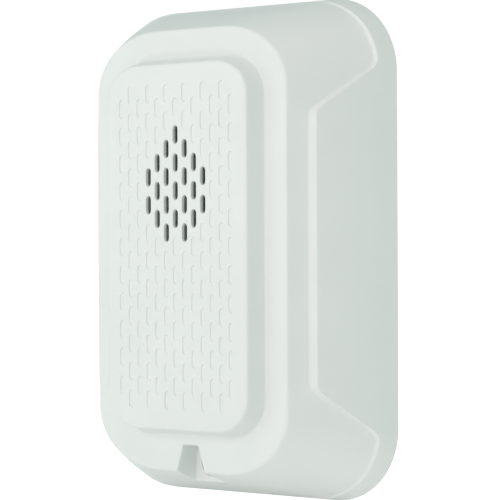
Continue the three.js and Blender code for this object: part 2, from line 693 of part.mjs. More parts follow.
// screw driven from behind: head on the wall side, cross slot in the head
function panScrew(x, z, headRadius, seat, { screwRadius, screwTip }) {
  const headBack = seat - headRadius / 2;
  const head = rod(headRadius, headBack, seat, x, z);
  const shank = rod(screwRadius, seat - 0.2, screwTip, x, z, 12);
  const recess = [headBack - 1, headBack + 0.8];
  const cross = join(centredBox(x, z, 0.35, 1.4, ...recess), centredBox(x, z, 1.4, 0.35, ...recess));
  return head.add(shank).subtract(cross);
}

fourCorners(COVER_SCREW_X, COVER_SCREW_Z).forEach(([x, z], i) => {
  const seat = COVER_BACK_DEPTH + COVER_SCREW_SINK - SEAT_GAP;
  part(`cover_screw_${i + 1}`, panScrew(x, z, COVER_HEAD_RADIUS, seat, COVER_POST), STEEL);
});

fourCorners(BOARD_SCREW_X, BOARD_SCREW_Z).forEach(([x, z], i) => {
  const seat = BOARD.backDepth - SEAT_GAP;
  part(`board_screw_${i + 1}`, panScrew(x, z, BOARD_HEAD_RADIUS, seat, BOARD_POST), STEEL);
});

// blades that carry the supply from the terminal block up to the board
terminals.forEach((x, i) => {
  part(
    `contact_pin_${i + 1}`,
    centredBox(x, CONTACT_Z, PIN.halfWidth, PIN.halfHeight, PIN.backDepth, BOARD.backDepth - SEAT_GAP),
    BRASS,
  );
});

// ---------------------------------------------------------------- captive screw

function captiveScrew() {
  const headTop = SCREW_HEAD_SEAT + SCREW_HEAD_HEIGHT;
  const screw = turned([
    [0, SCREW_TIP_DEPTH],
    [SCREW_RADIUS - 0.6, SCREW_TIP_DEPTH],
    [SCREW_RADIUS, SCREW_TIP_DEPTH + 0.8],
    [SCREW_RADIUS, SCREW_HEAD_SEAT],
    [SCREW_HEAD_RADIUS, SCREW_HEAD_SEAT],
    [SCREW_HEAD_RADIUS, headTop - 0.6],
    [SCREW_HEAD_RADIUS - 0.6, headTop],
    [0, headTop],
  ], 0, SCREW_Z, FINE);
  const cross = join(
    box(-0.4, 0.4, headTop - 1, headTop + 1, SCREW_Z - 1.6, SCREW_Z + 1.6),
    box(-1.6, 1.6, headTop - 1, headTop + 1, SCREW_Z - 0.4, SCREW_Z + 0.4),
  );
  return screw.subtract(cross);
}

const RING_BACK_DEPTH = 3.6;
const RING_FRONT_DEPTH = 4.2;

part('captive_screw', captiveScrew(), STEEL);
part(
  'screw_retaining_ring',
  washer(SCREW_RADIUS + FIT_GAP, RING_RADIUS, RING_BACK_DEPTH, RING_FRONT_DEPTH, 0, SCREW_Z, ROUND),
  BLACK_PLASTIC,
);

// ---------------------------------------------------------------- mounting plate

const INSERT_RADIUS = 2.9;
const INSERT_BACK_DEPTH = 0.5;
const INSERT_FRONT_DEPTH = 3;
const BOSS_RADIUS = 5;
const BOSS_DEPTH = 3.3;

function boxScrewSlots() {
  const places = [-BOX_SCREW_X, 0, BOX_SCREW_X].flatMap((x) => [[x, BOX_SCREW_Z], [x, -BOX_SCREW_Z]]);
  const edgePlaces = [[-BOX_SCREW_Z, 0], [BOX_SCREW_Z, 0]];
  return [...places, ...edgePlaces].map(([x, z]) =>
    slab(slotShape(x, z, BOX_SLOT_RADIUS, BOX_SLOT_REACH), -1, PLATE_THICKNESS + 1, 4));
}

// hook that holds a housing bead from below: an arc round the hinge line on a foot that joins the plate
function cradle(x) {
  const inner = BEAD_RADIUS + 0.4;
  const outer = inner + CRADLE_THICKNESS;
  const front = THREE.MathUtils.degToRad(-25);
  const back = THREE.MathUtils.degToRad(-155);
  const arc = new THREE.Shape();
  arc.absarc(HINGE_DEPTH, HINGE_Z, outer, front, back, true);
  arc.absarc(HINGE_DEPTH, HINGE_Z, inner, back, front, false);
  arc.closePath();
  const half = CRADLE_LENGTH / 2;
  const footTop = HINGE_Z - outer * 0.62;
  const foot = box(x - half, x + half, 0, PLATE_THICKNESS, PLATE.halfHeight - 3, footTop);
  const clear = new THREE.CylinderGeometry(inner, inner, CRADLE_LENGTH + 1, ROUND);
  clear.rotateZ(Math.PI / 2);
  clear.translate(x, -HINGE_DEPTH, HINGE_Z);
  return bar(arc, x - half, x + half, 5).add(foot).subtract(toSolid(clear));
}

function mountingPlate() {
  const base = slab(outlineShape(PLATE), 0, PLATE_THICKNESS);
  const lip = cut(
    slab(outlineShape(PLATE), PLATE_THICKNESS - 1, PLATE_LIP_DEPTH),
    slab(outlineShape(widened(PLATE, -PLATE_LIP_WIDTH)), PLATE_THICKNESS - 2, PLATE_LIP_DEPTH + 1),
  );
  const boss = rod(BOSS_RADIUS, 0, BOSS_DEPTH, 0, SCREW_Z, FINE).intersect(
    box(-BOSS_RADIUS, BOSS_RADIUS, 0, BOSS_DEPTH, -PLATE.halfHeight, 0));
  const { halfWidth, lowZ, highZ, radius } = WIRE_OPENING;
  const opening = roundedShape(halfWidth, lowZ, highZ, radius);
  return cut(
    join(base, lip, boss, cradle(-HINGE_X), cradle(HINGE_X)),
    slab(opening, -1, PLATE_THICKNESS + 1, 2),
    ...boxScrewSlots(),
    rod(INSERT_RADIUS + SEAT_GAP, INSERT_BACK_DEPTH - SEAT_GAP, BODY_DEPTH, 0, SCREW_Z, ROUND),
  );
}

part('mounting_plate', mountingPlate(), PLATE_PLASTIC);
part(
  'threaded_insert',
  washer(SCREW_RADIUS + 0.35, INSERT_RADIUS, INSERT_BACK_DEPTH, INSERT_FRONT_DEPTH, 0, SCREW_Z, ROUND),
  BRASS,
);

// ---------------------------------------------------------------- terminal block

const CLAMP_WELL = { halfWidth: 4.2, highZ: -21.8, floorDepth: 5.4 };
const CONTACT_WELL = { halfWidth: 1.6, halfHeight: 2.7, floorDepth: 5 };
const TERMINAL_SCREW_RADIUS = 1.45;

function terminalBlock() {
  const { halfWidth, lowZ, highZ, backDepth, frontDepth } = BLOCK;
  const block = box(-halfWidth, halfWidth, backDepth, frontDepth, lowZ, highZ);
  const contact = CONTACT_WELL;
  const wells = terminals.flatMap((x) => [
    box(x - CLAMP_WELL.halfWidth, x + CLAMP_WELL.halfWidth, CLAMP_WELL.floorDepth, BODY_DEPTH,
      lowZ - 1, CLAMP_WELL.highZ),
    centredBox(x, CONTACT_Z, contact.halfWidth, contact.halfHeight, contact.floorDepth, BODY_DEPTH),
    rod(TERMINAL_SCREW_RADIUS + FIT_GAP, backDepth + 0.4, BODY_DEPTH, x, TERMINAL_SCREW_Z, 12),
  ]);
  return cut(block, ...wells);
}

const CLAMP_FRONT_DEPTH = 6.7;
const CLAMP_THICKNESS = 1;
const TERMINAL_HEAD_SEAT = CLAMP_FRONT_DEPTH + SEAT_GAP;
const TERMINAL_HEAD_HEIGHT = 1.75;
const TERMINAL_SCREW_TIP = 3.3;

// screw whose slotted head faces the room
function terminalScrew(x) {
  const headFront = TERMINAL_HEAD_SEAT + TERMINAL_HEAD_HEIGHT;
  const head = rod(3, TERMINAL_HEAD_SEAT, headFront, x, TERMINAL_SCREW_Z);
  const shankEnd = TERMINAL_HEAD_SEAT + 0.2;
  const shank = rod(TERMINAL_SCREW_RADIUS, TERMINAL_SCREW_TIP, shankEnd, x, TERMINAL_SCREW_Z, 12);
  const slot = centredBox(x, TERMINAL_SCREW_Z, 0.4, 3.2, headFront - 0.9, headFront + 1);
  return head.add(shank).subtract(slot);
}

function terminalClamp(x) {
  const half = 3.6;
  const backDepth = CLAMP_FRONT_DEPTH - CLAMP_THICKNESS;
  const clamp = centredBox(x, TERMINAL_SCREW_Z, half, half, backDepth, CLAMP_FRONT_DEPTH);
  return clamp.subtract(rod(TERMINAL_SCREW_RADIUS + FIT_GAP, 0, BODY_DEPTH, x, TERMINAL_SCREW_Z, 12));
}

// spring contact: two leaves joined at the bottom, open towards the room
function contactClip(x) {
  const backDepth = CONTACT_WELL.floorDepth + FIT_GAP;
  const leaf = 0.4;
  const outside = centredBox(x, CONTACT_Z, 1.15, 2, backDepth, backDepth + 4.9);
  return outside.subtract(centredBox(x, CONTACT_Z, 1.15 - leaf, 3, backDepth + leaf, BODY_DEPTH));
}

// bent strip over the two middle terminals that keeps the circuit closed until the housing is fitted
function shortingSpring() {
  const half = TERMINAL_PITCH / 2 + 1.5;
  const seat = BLOCK.frontDepth + SEAT_GAP;
  const thickness = 0.4;
  const shape = new THREE.Shape();
  shape.moveTo(-half, seat);
  shape.lineTo(-half + 3, seat);
  shape.quadraticCurveTo(0, seat + 1.6, half - 3, seat);
  shape.lineTo(half, seat);
  shape.lineTo(half, seat + thickness);
  shape.lineTo(half - 3, seat + thickness);
  shape.quadraticCurveTo(0, seat + 1.6 + thickness, -half + 3, seat + thickness);
  shape.lineTo(-half, seat + thickness);
  shape.closePath();
  const width = 2.6;
  const lowZ = CONTACT_Z + 2;
  const geometry = new THREE.ExtrudeGeometry(shape, { depth: width, bevelEnabled: false, curveSegments: 8 });
  geometry.applyMatrix4(new THREE.Matrix4().set(1, 0, 0, 0, 0, -1, 0, 0, 0, 0, 1, lowZ, 0, 0, 0, 1));
  return toSolid(flipWhereMirrored(geometry));
}

part('terminal_block', terminalBlock(), BLACK_PLASTIC);
terminals.forEach((x, i) => {
  part(`terminal_screw_${i + 1}`, terminalScrew(x), STEEL);
  part(`terminal_clamp_${i + 1}`, terminalClamp(x), STEEL);
  part(`contact_clip_${i + 1}`, contactClip(x), BRASS);
});
part('shorting_spring', shortingSpring(), STEEL);

export default assembly;
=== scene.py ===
"""Wall-mounted alarm sounder: the looks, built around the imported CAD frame.

Shapes are worked out in millimetres as (x, depth, z). Depth is the distance out from the wall, so a point
becomes (x, -depth, z) in the frame's metres when a mesh is made.
"""

import json
import math

import bmesh
import bpy
from mathutils import Matrix, Vector
from mathutils.geometry import delaunay_2d_cdt

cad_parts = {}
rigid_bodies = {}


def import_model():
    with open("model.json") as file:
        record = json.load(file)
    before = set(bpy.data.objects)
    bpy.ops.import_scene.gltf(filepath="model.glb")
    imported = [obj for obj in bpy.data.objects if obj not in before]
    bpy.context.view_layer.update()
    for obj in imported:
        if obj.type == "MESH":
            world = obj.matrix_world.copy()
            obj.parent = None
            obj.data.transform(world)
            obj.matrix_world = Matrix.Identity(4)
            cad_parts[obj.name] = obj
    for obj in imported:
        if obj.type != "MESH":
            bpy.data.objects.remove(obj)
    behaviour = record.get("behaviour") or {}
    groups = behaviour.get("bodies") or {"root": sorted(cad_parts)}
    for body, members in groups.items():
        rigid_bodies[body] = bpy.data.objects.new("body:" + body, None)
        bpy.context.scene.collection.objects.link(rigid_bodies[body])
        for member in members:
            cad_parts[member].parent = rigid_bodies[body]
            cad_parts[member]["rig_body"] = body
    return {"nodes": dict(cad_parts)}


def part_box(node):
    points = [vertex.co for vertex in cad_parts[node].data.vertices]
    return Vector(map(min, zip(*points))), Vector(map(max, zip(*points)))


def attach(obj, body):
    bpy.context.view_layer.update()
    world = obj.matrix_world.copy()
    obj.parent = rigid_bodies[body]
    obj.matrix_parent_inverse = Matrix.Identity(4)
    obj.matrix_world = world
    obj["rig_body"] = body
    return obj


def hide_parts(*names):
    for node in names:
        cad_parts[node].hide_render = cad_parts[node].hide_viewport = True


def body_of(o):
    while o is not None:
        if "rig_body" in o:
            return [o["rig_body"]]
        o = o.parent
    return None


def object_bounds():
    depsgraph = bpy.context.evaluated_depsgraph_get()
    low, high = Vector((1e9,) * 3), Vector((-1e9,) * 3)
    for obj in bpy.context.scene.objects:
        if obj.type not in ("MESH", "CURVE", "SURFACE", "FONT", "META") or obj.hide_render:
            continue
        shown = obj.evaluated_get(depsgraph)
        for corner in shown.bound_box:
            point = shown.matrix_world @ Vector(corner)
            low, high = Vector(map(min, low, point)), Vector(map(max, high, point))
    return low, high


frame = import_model()
cad_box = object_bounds()
nodes = frame["nodes"]

MM = 0.001

# ---- driving dimensions, in mm

housing_low, housing_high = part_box("front_housing")
HALF_WIDTH = housing_high.x / MM
HALF_HEIGHT = housing_high.z / MM
FRONT = -housing_low.y / MM  # depth of the grille pad's face
BACK_EDGE = -housing_high.y / MM  # depth of the housing's back edge
WALL = 2.2  # thickness of the moulding
SIDE_SLANT = 1.2  # sideways width of a slanted long side, for each mm of its thickness

PAD_RISE = 5.3
RIM = FRONT - PAD_RISE  # depth of the flat rim round the pad
RIM_AHEAD = RIM - BACK_EDGE
RIM_HALF_WIDTH = 41.3
RIM_HALF_HEIGHT = 63.5

PAD_HALF_WIDTH = 30.55
PAD_HALF_HEIGHT = 52.4
PAD_CENTRE_Z = 1.1

# the corners are elliptical, with a radius in x and one in z
BACK_RADII = Vector((25, 0, 21.4))
RIM_RADII = Vector((26.6, 0, 17.8))
PAD_RADII = Vector((13.9, 0, 9.6))
PAD_DRAFT = 1.8 / PAD_RISE
END_CROWN = 0.9  # how far the body's two ends bulge beyond a straight taper
SKIRT_RISE = 1.6  # ramp at the pad's two ends
SKIRT_REACH = 1.9
SKIRT_FULL_X = 13
SKIRT_END_X = 27
SKIRT_LEAST = 0.08  # share of the ramp that is left beside the pad

# the wings stand outside the tapered body, and their front edge is a ledge
FLANGE_AHEAD = 4.85
WING_AHEAD = 20
WING_HALF_HEIGHT = 39
WING_FOOT_HALF_HEIGHT = 51.6
WING_TAPER = 0.48
WING_CROWN = 0.0052
LEDGE_LEAST = 0.15

SLOT_PITCH = 4
SLOT_RADIUS = 1.06
SLOT_REACH = 1.57  # from a slot's middle to the centre of each round end
SLOT_LIP = 0.22
SLOT_WALL = 0.95  # depth of an open slot before it widens behind
SLOT_FLARE = 0.8
RECESS_DEPTH = 0.34
GRILLE_COLUMNS = 6
GRILLE_LEVELS = 11
OPEN_MIDDLE_LEVEL = 4.5
OPEN_LEVELS = {0: (2, 8), 1: (1, 7), 2: (2, 6), 3: (3, 5)}  # by distance from the middle column

NOTCH_TOP_Z = -55.9
NOTCH_HALF_WIDTH = 3.6
NOTCH_FLARE = 0.36
NOTCH_DRAFT = 0.2  # how much narrower the notch is at its floor, on each side
NOTCH_FLOOR = 19.35  # depth of the floor at the screw
NOTCH_FLOOR_SLOPE = 0.2
SCREW_Z = -61.8
SCREW_TUBE_RADIUS = 5.2
SCREW_TUBE_BACK = 8.45
THREAD_SIDES = 30
STEPS_PER_TURN = 7

SOUNDER_Z = PAD_CENTRE_Z + OPEN_MIDDLE_LEVEL * SLOT_PITCH
COLLAR_BACK = 24
COLLAR_FRONT = 30
COVER_POST = (36, 49, 3.4, 6.55)  # x, z, radius, depth of the end
BOARD_POST = (37, 38, 2.8, 17.05)
POCKET_HALF_WIDTH = 25  # the rear cover's pocket, which takes the terminal block
POCKET_HALF_HEIGHT = 12.25
POCKET_Z = -21.75

# the housing hangs by two beads in two cradles of the mounting plate
HINGE_DEPTH = 3.2
HINGE_Z = 67.9
HINGE_X = 26
BEAD_RADIUS = 1.1
BEAD_LENGTH = 10
CRADLE_BORE = 1.5
CRADLE_WALL = 1.2
CRADLE_HALF_LENGTH = 4
PLATE_FACE = 2.4
BOX_SCREW_X = 23
BOX_SCREW_Z = 41.65

# the camera looks at the middle of the housing's back edge, and its angles are in degrees
CAMERA_AZIMUTH = 48.3
CAMERA_ELEVATION = 0.1
CAMERA_DISTANCE = 0.917  # in metres
CAMERA_ROLL = -0.26
CAMERA_LENS = 226.1
CAMERA_SHIFT = -0.01
FLOOR_RADIUS = 3000
FLOOR_GAP = 0.2  # between the object and the floor, so that they never touch
FLOOR_COLOUR = (0.98, 1, 1, 1)
FLOOR_GLOW = 0.24
FLOOR_LIFT = 0.5  # extra brightness that only the camera sees
SKY_COLOUR = (0.76, 1, 0.97, 1)
SKY_STRENGTH = 0.489
BACKDROP_STRENGTH = 1.05


# ---- small helpers

def place(x, depth, z):
    """A point of the frame, in metres."""
    return Vector((x * MM, -depth * MM, z * MM))


def mix(a, b, t):
    return a + (b - a) * t


def smooth_step(low, high, value):
    t = min(max((value - low) / (high - low), 0), 1)
    return t * t * (3 - 2 * t)


def smooth_max(a, b, width):
    overlap = max(width - abs(a - b), 0) / width
    return max(a, b) + overlap * overlap * width / 4


def smooth_min(a, b, width):
    return -smooth_max(-a, -b, width)


def arc(a, b, radius, first, last, steps):
    """Points round part of a circle, between two directions in degrees."""
    turns = [math.radians(mix(first, last, step / steps)) for step in range(steps + 1)]
    return [(a + radius * math.cos(turn), b + radius * math.sin(turn)) for turn in turns]


def linked(name, data):
    """A new object in the scene, with its mesh, camera or lamp."""
    made = bpy.data.objects.new(name, data)
    bpy.context.scene.collection.objects.link(made)
    return made


def riding_piece(name, builder, body, slot, stands_for):
    """Turns a bmesh into a piece that rides on a body and takes the place of CAD nodes."""
    builder.normal_update()
    piece = mesh_object(name, builder)
    piece.data.materials.append(LOOKS[slot])
    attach(piece, body)
    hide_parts(*stands_for)
    return piece


def soften(piece, sharp_degrees=32):
    """Smooth shading between faces that meet gently, with normals that follow the large faces."""
    mesh = piece.data
    mesh.polygons.foreach_set("use_smooth", [True] * len(mesh.polygons))
    mesh.set_sharp_from_angle(angle=math.radians(sharp_degrees))
    weighted = piece.modifiers.new("face weighted normals", "WEIGHTED_NORMAL")
    weighted.keep_sharp = True
    weighted.weight = 100


# ---- solids

def ring_of(builder, points):
    return [builder.verts.new(place(*p)) for p in points]


def bridge(builder, first, second):
    """Quads between two rings of the same length."""
    for i in range(len(first)):
        k = (i + 1) % len(first)
        builder.faces.new((first[i], first[k], second[k], second[i]))


def mesh_object(name, builder):
    """An object made of a bmesh, which is used up."""
    mesh = bpy.data.meshes.new(name)
    builder.to_mesh(mesh)
    builder.free()
    return linked(name, mesh)


def boolean(target, tool, operation):
    """Joins or cuts target with tool, which is used up."""
    modifier = target.modifiers.new(operation, "BOOLEAN")
    modifier.operation = operation
    modifier.object = tool
    modifier.solver = "EXACT"
    modifier.use_self = False
    graph = bpy.context.evaluated_depsgraph_get()
    result = bpy.data.meshes.new_from_object(target.evaluated_get(graph))
    target.modifiers.clear()
    target.data = result
    bpy.data.objects.remove(tool)


def taken(source):
    """The mesh of a temporary object, which is used up, with doubled points merged."""
    builder = bmesh.new()
    builder.from_mesh(source.data)
    bmesh.ops.remove_doubles(builder, verts=builder.verts, dist=1e-7)
    bpy.data.objects.remove(source)
    return builder


def closed(builder):
    bmesh.ops.recalc_face_normals(builder, faces=builder.faces)
    return builder


def bridge_all(builder, rings):
    for a, b in zip(rings, rings[1:]):
        bridge(builder, a, b)


def prism(builder, sections):
    """Closed solid through outlines of the same number of points."""
    rings = [ring_of(builder, section) for section in sections]
    bridge_all(builder, rings)
    builder.faces.new(list(reversed(rings[0])))
    builder.faces.new(rings[-1])


def eased_corner(before, corner, after, reach, most, shares):
    """Points of a short curve across a corner, which takes at most a share of the line on each side."""
    start, end = [
        corner + (beside - corner).normalized() * min(reach, most * (beside - corner).length)
        for beside in (before, after)
    ]
    return [start * (1 - t) ** 2 + corner * 2 * t * (1 - t) + end * t * t for t in shares]


def eased_profile(corners, reach):
    """A closed run of (radius, depth) corners, each one rounded."""
    points = [Vector(corner) for corner in corners]
    profile = []
    for i, corner in enumerate(points):
        after = points[(i + 1) % len(points)]
        profile += eased_corner(points[i - 1], corner, after, reach, 0.4, (0, 0.33, 0.67, 1))
    return profile


def prism_object(name, sections):
    builder = bmesh.new()
    prism(builder, sections)
    return mesh_object(name, closed(builder))


def bar_sections(outline, x, half_length):
    """Both ends of a bar along x, with an outline of (depth, z) points."""
    return [[(end, depth, z) for depth, z in outline] for end in (x - half_length, x + half_length)]


def wavy_section(x, z, radius_at, depth, sides):
    """Points round an axis out from the wall, with a radius for each direction."""
    turns = [2 * math.pi * i / sides for i in range(sides)]
    return [(x + radius_at(a) * math.cos(a), depth, z + radius_at(a) * math.sin(a)) for a in turns]


def round_section(x, z, radius, depth, sides=48):
    """Points round a circle that faces out from the wall."""
    return wavy_section(x, z, lambda turn: radius, depth, sides)


def four_corners(x, z):
    """A point and its mirror images, anticlockwise."""
    return [(x, z), (-x, z), (-x, -z), (x, -z)]


def slot_outline(x, z, radius, reach=SLOT_REACH, steps=7):
    """Upright slot with round ends, as points in x and z."""
    return arc(x, z + reach, radius, 0, 180, steps) + arc(x, z - reach, radius, 180, 360, steps)


def box_at(x, z, half_width, half_height, radius=0.3, steps=4):
    """Makes outlines of one rectangle with round corners, each smaller by an inset."""
    def outline(inset):
        r = max(radius - inset, 0.02)
        points = []
        for number, (a, b) in enumerate(four_corners(half_width - inset - r, half_height - inset - r)):
            points += arc(x + a, z + b, r, 90 * number, 90 * number + 90, steps)
        return points
    return outline


def panel(half_width, half_height, radius, inset=0.0):
    """A centred rectangle with large round corners."""
    return box_at(0, 0, half_width - inset, half_height - inset, radius - inset, 16)


def disc_at(x, z, radius, sides=64):
    def outline(inset):
        return [(px, pz) for px, _, pz in round_section(x, z, radius - inset, 0, sides)]
    return outline


def slot_at(x, z, radius, reach):
    def outline(inset):
        return slot_outline(x, z, radius - inset, reach, 12)
    return outline


def turned(builder, x, z, profile, sides=64, hollow=False):
    """Solid turned from (radius, depth) points about an axis out from the wall. A hollow one is a ring."""
    sections = [round_section(x, z, radius, depth, sides) for radius, depth in profile]
    if hollow:
        rings = [ring_of(builder, section) for section in sections]
        bridge_all(builder, rings + rings[:1])
    else:
        prism(builder, sections)


def slab(builder, outline, back, front, ease=0.05):
    """Solid between two depths, with its two edges rounded."""
    edge = [(ease * (1 - a), ease * (1 - b)) for a, b in arc(0, 0, 1, 0, 90, 3)]
    levels = [(back + rise, inset) for rise, inset in edge]
    levels += [(front - rise, inset) for rise, inset in reversed(edge)]
    prism(builder, [[(x, depth, z) for x, z in outline(inset)] for depth, inset in levels])


def solid(name, *slabs):
    """A temporary object with one or more slabs, each given as outline, back, front and maybe ease."""
    builder = bmesh.new()
    for settings in slabs:
        slab(builder, *settings)
    return mesh_object(name, closed(builder))


# ---- housing outlines

def stretch(start, stop, count):
    """Evenly spaced values after start, up to and including stop."""
    return [mix(start, stop, (i + 1) / count) for i in range(count)]


def corner_turns(first, near_start):
    """Directions round one corner in degrees, closer together next to the long side."""
    fine = 18
    if near_start:
        return stretch(first, first + fine, 12) + stretch(first + fine, first + 90, 16)
    return stretch(first, first + 90 - fine, 16) + stretch(first + 90 - fine, first + 90, 12)


def make_stations():
    """Steps round a rounded rectangle: shares of its straight halves in x and z, and the way outward."""
    long_side = stretch(-1, -0.72, 18) + stretch(-0.72, 0.72, 14) + stretch(0.72, 1, 18)
    short_side = stretch(1, -1, 14)
    steps = []
    for side, first in ((1, 0), (-1, 180)):
        steps += [(side, side * z, first) for z in long_side]
        steps += [(side, side, turn) for turn in corner_turns(first, True)]
        steps += [(side * x, side, first + 90) for x in short_side]
        steps += [(-side, side, turn) for turn in corner_turns(first + 90, False)]
    return [(x, z, math.radians(turn)) for x, z, turn in steps]


STATIONS = make_stations()


def outline_point(station, half_width, half_height, radii, depth, centre_z=0):
    share_x, share_z, turn = station
    x = share_x * (half_width - radii.x) + radii.x * math.cos(turn)
    z = centre_z + share_z * (half_height - radii.z) + radii.z * math.sin(turn)
    return Vector((x, depth, z))


def grown(radii, amount):
    return radii + Vector((amount, 0, amount))


def end_height(ahead):
    """Half the body's height, at a distance ahead of the back edge."""
    t = min(max(ahead / RIM_AHEAD, 0), 1)
    return mix(HALF_HEIGHT, RIM_HALF_HEIGHT, t) + END_CROWN * 4 * t * (1 - t)


def body_point(station, ahead, inset=0):
    """Point on the tapered body, at a distance ahead of the back edge."""
    t = ahead / RIM_AHEAD
    half_width = mix(HALF_WIDTH, RIM_HALF_WIDTH, t) - SIDE_SLANT * inset
    half_height = end_height(ahead) - inset
    radii = grown(mix(BACK_RADII, RIM_RADII, t), -inset)
    return outline_point(station, half_width, half_height, radii, BACK_EDGE + ahead)


def wing_point(station, ahead, inset=0):
    """Point on the wings and flange, just outside the tapered body."""
    t = ahead / RIM_AHEAD
    half_width = HALF_WIDTH - WING_TAPER * ahead - WING_CROWN * ahead * ahead - SIDE_SLANT * inset
    half_height = end_height(ahead) - inset
    half_height += LEDGE_LEAST * min(max(ahead, 0) / FLANGE_AHEAD, 1)
    radii = grown(mix(BACK_RADII, RIM_RADII, t), -inset)
    return outline_point(station, half_width, half_height, radii, BACK_EDGE + ahead)


def ledge_ahead(z, inset=0):
    """How far ahead of the back edge the ledge lies: high beside the wings, low beyond their ends."""
    slope = (WING_AHEAD - FLANGE_AHEAD) / (WING_FOOT_HALF_HEIGHT - WING_HALF_HEIGHT)
    low = FLANGE_AHEAD - inset
    slant = low + (WING_FOOT_HALF_HEIGHT - inset - abs(z)) * slope
    rounding = 2.2
    return smooth_min(WING_AHEAD - inset, smooth_max(low, slant, rounding), rounding)


def on_ledge(surface, station, inset=0):
    """Where a station's line on a surface meets the ledge."""
    ahead = FLANGE_AHEAD
    for _ in range(30):
        ahead = mix(ahead, ledge_ahead(surface(station, ahead, inset).z, inset), 0.5)
    return surface(station, ahead, inset), ahead


def pad_point(station, depth, inset=0):
    widen = (FRONT - depth) * PAD_DRAFT - inset
    half_width, half_height = PAD_HALF_WIDTH + widen, PAD_HALF_HEIGHT + widen
    return outline_point(station, half_width, half_height, grown(PAD_RADII, widen), depth, PAD_CENTRE_Z)


def pad_outward(turn):
    return Vector((PAD_RADII.z * math.cos(turn), 0, PAD_RADII.x * math.sin(turn))).normalized()


def rounded(points, reaches, steps):
    """A polyline with each inner corner replaced by a short curve, at most a reach long on each side."""
    line = [points[0]]
    for i, (reach, count) in enumerate(zip(reaches, steps)):
        shares = [step / count for step in range(count + 1)]
        line += eased_corner(points[i], points[i + 1], points[i + 2], reach, 0.45, shares)
    line.append(points[-1])
    return line


def outside_line(station):
    """Section through the outer surface, from the pad's flat face to the housing's back edge."""
    turn = station[2]
    outward = pad_outward(turn)
    foot = pad_point(station, RIM)
    at_an_end = abs(math.sin(turn)) > 0.1
    skirt = 1 - smooth_step(SKIRT_FULL_X, SKIRT_END_X, abs(foot.x)) if at_an_end else 0
    skirt = max(skirt, SKIRT_LEAST)
    body_end, end_ahead = on_ledge(body_point, station)
    wing_start, wing_ahead = on_ledge(wing_point, station)
    corners = [
        pad_point(station, FRONT) - outward * 3,
        pad_point(station, FRONT),
        pad_point(station, RIM + SKIRT_RISE * skirt),
        foot + outward * SKIRT_REACH * skirt,
        body_point(station, RIM_AHEAD),
    ]
    corners += [body_point(station, mix(RIM_AHEAD, end_ahead, share / 7)) for share in range(1, 7)]
    corners += [body_end, wing_start]
    corners += [wing_point(station, wing_ahead * t) for t in (0.8, 0.55, 0.3)]
    corners += [wing_point(station, 0), body_point(station, 0, WALL)]
    reaches = [0.8, 0.9, 0.9, 0.8] + [0.3] * 6 + [0.9, 0.45, 0.3, 0.3, 0.3, 0.15]
    steps = [5, 3, 3, 5] + [1] * 6 + [4, 4, 1, 1, 1, 3]
    return rounded(corners, reaches, steps)


def inside_line(station):
    """Section through the inner surface, from the back edge to the inside of the pad's face."""
    outward = pad_outward(station[2])
    body_end, _ = on_ledge(body_point, station, WALL)
    wing_start, wing_ahead = on_ledge(wing_point, station, WALL)
    corners = [
        wing_point(station, 0, WALL),
        wing_point(station, max(wing_ahead, 1) * 0.5, WALL),
        wing_start,
        body_end,
        body_point(station, RIM_AHEAD - WALL, WALL),
        pad_point(station, RIM - WALL, WALL),
        pad_point(station, FRONT - WALL, WALL),
        pad_point(station, FRONT - WALL, WALL) - outward * 2,
    ]
    return rounded(corners, [0.3, 0.3, 0.5, 0.5, 0.5, 0.5], [1, 2, 2, 2, 2, 2])


# ---- grille

def grille_slots():
    """Centres of the staggered slots, with whether each one is open."""
    slots = []
    for column in range(-GRILLE_COLUMNS, GRILLE_COLUMNS + 1):
        for level in range(-GRILLE_LEVELS, GRILLE_LEVELS + 1):
            if (level - column) % 2:
                continue
            if column % 2 == 0 and abs(level) > GRILLE_LEVELS - 1:
                continue
            lowest, highest = OPEN_LEVELS.get(abs(column), (1, 0))
            is_open = lowest <= level <= highest
            slots.append((column * SLOT_PITCH, PAD_CENTRE_Z + level * SLOT_PITCH, is_open))
    return slots


def plate_with_holes(builder, outer_ring, holes, faces_front):
    """Fills a flat face between its edge ring and the convex rings of its holes."""
    loops = [outer_ring] + holes
    verts = [v for loop in loops for v in loop]
    loop_of = [number for number, loop in enumerate(loops) for _ in loop]
    edges = []
    start = 0
    for loop in loops:
        edges += [(start + i, start + (i + 1) % len(loop)) for i in range(len(loop))]
        start += len(loop)
    flat = [Vector((v.co.x / MM, v.co.z / MM)) for v in verts]
    result = delaunay_2d_cdt(flat, edges, [], 1, 1e-5)
    for triangle in result[2]:
        sources = [result[3][i][0] for i in triangle]
        touched = {loop_of[i] for i in sources}
        inside_a_hole = len(touched) == 1 and touched != {0}
        if inside_a_hole:
            continue
        corners = [verts[i] for i in sources]
        if faces_front:
            corners.reverse()
        builder.faces.new(corners)


def slot_rings(builder, x, z, levels):
    rings = []
    for radius, depth in levels:
        rings.append(ring_of(builder, [(px, depth, pz) for px, pz in slot_outline(x, z, radius)]))
    bridge_all(builder, rings)
    return rings


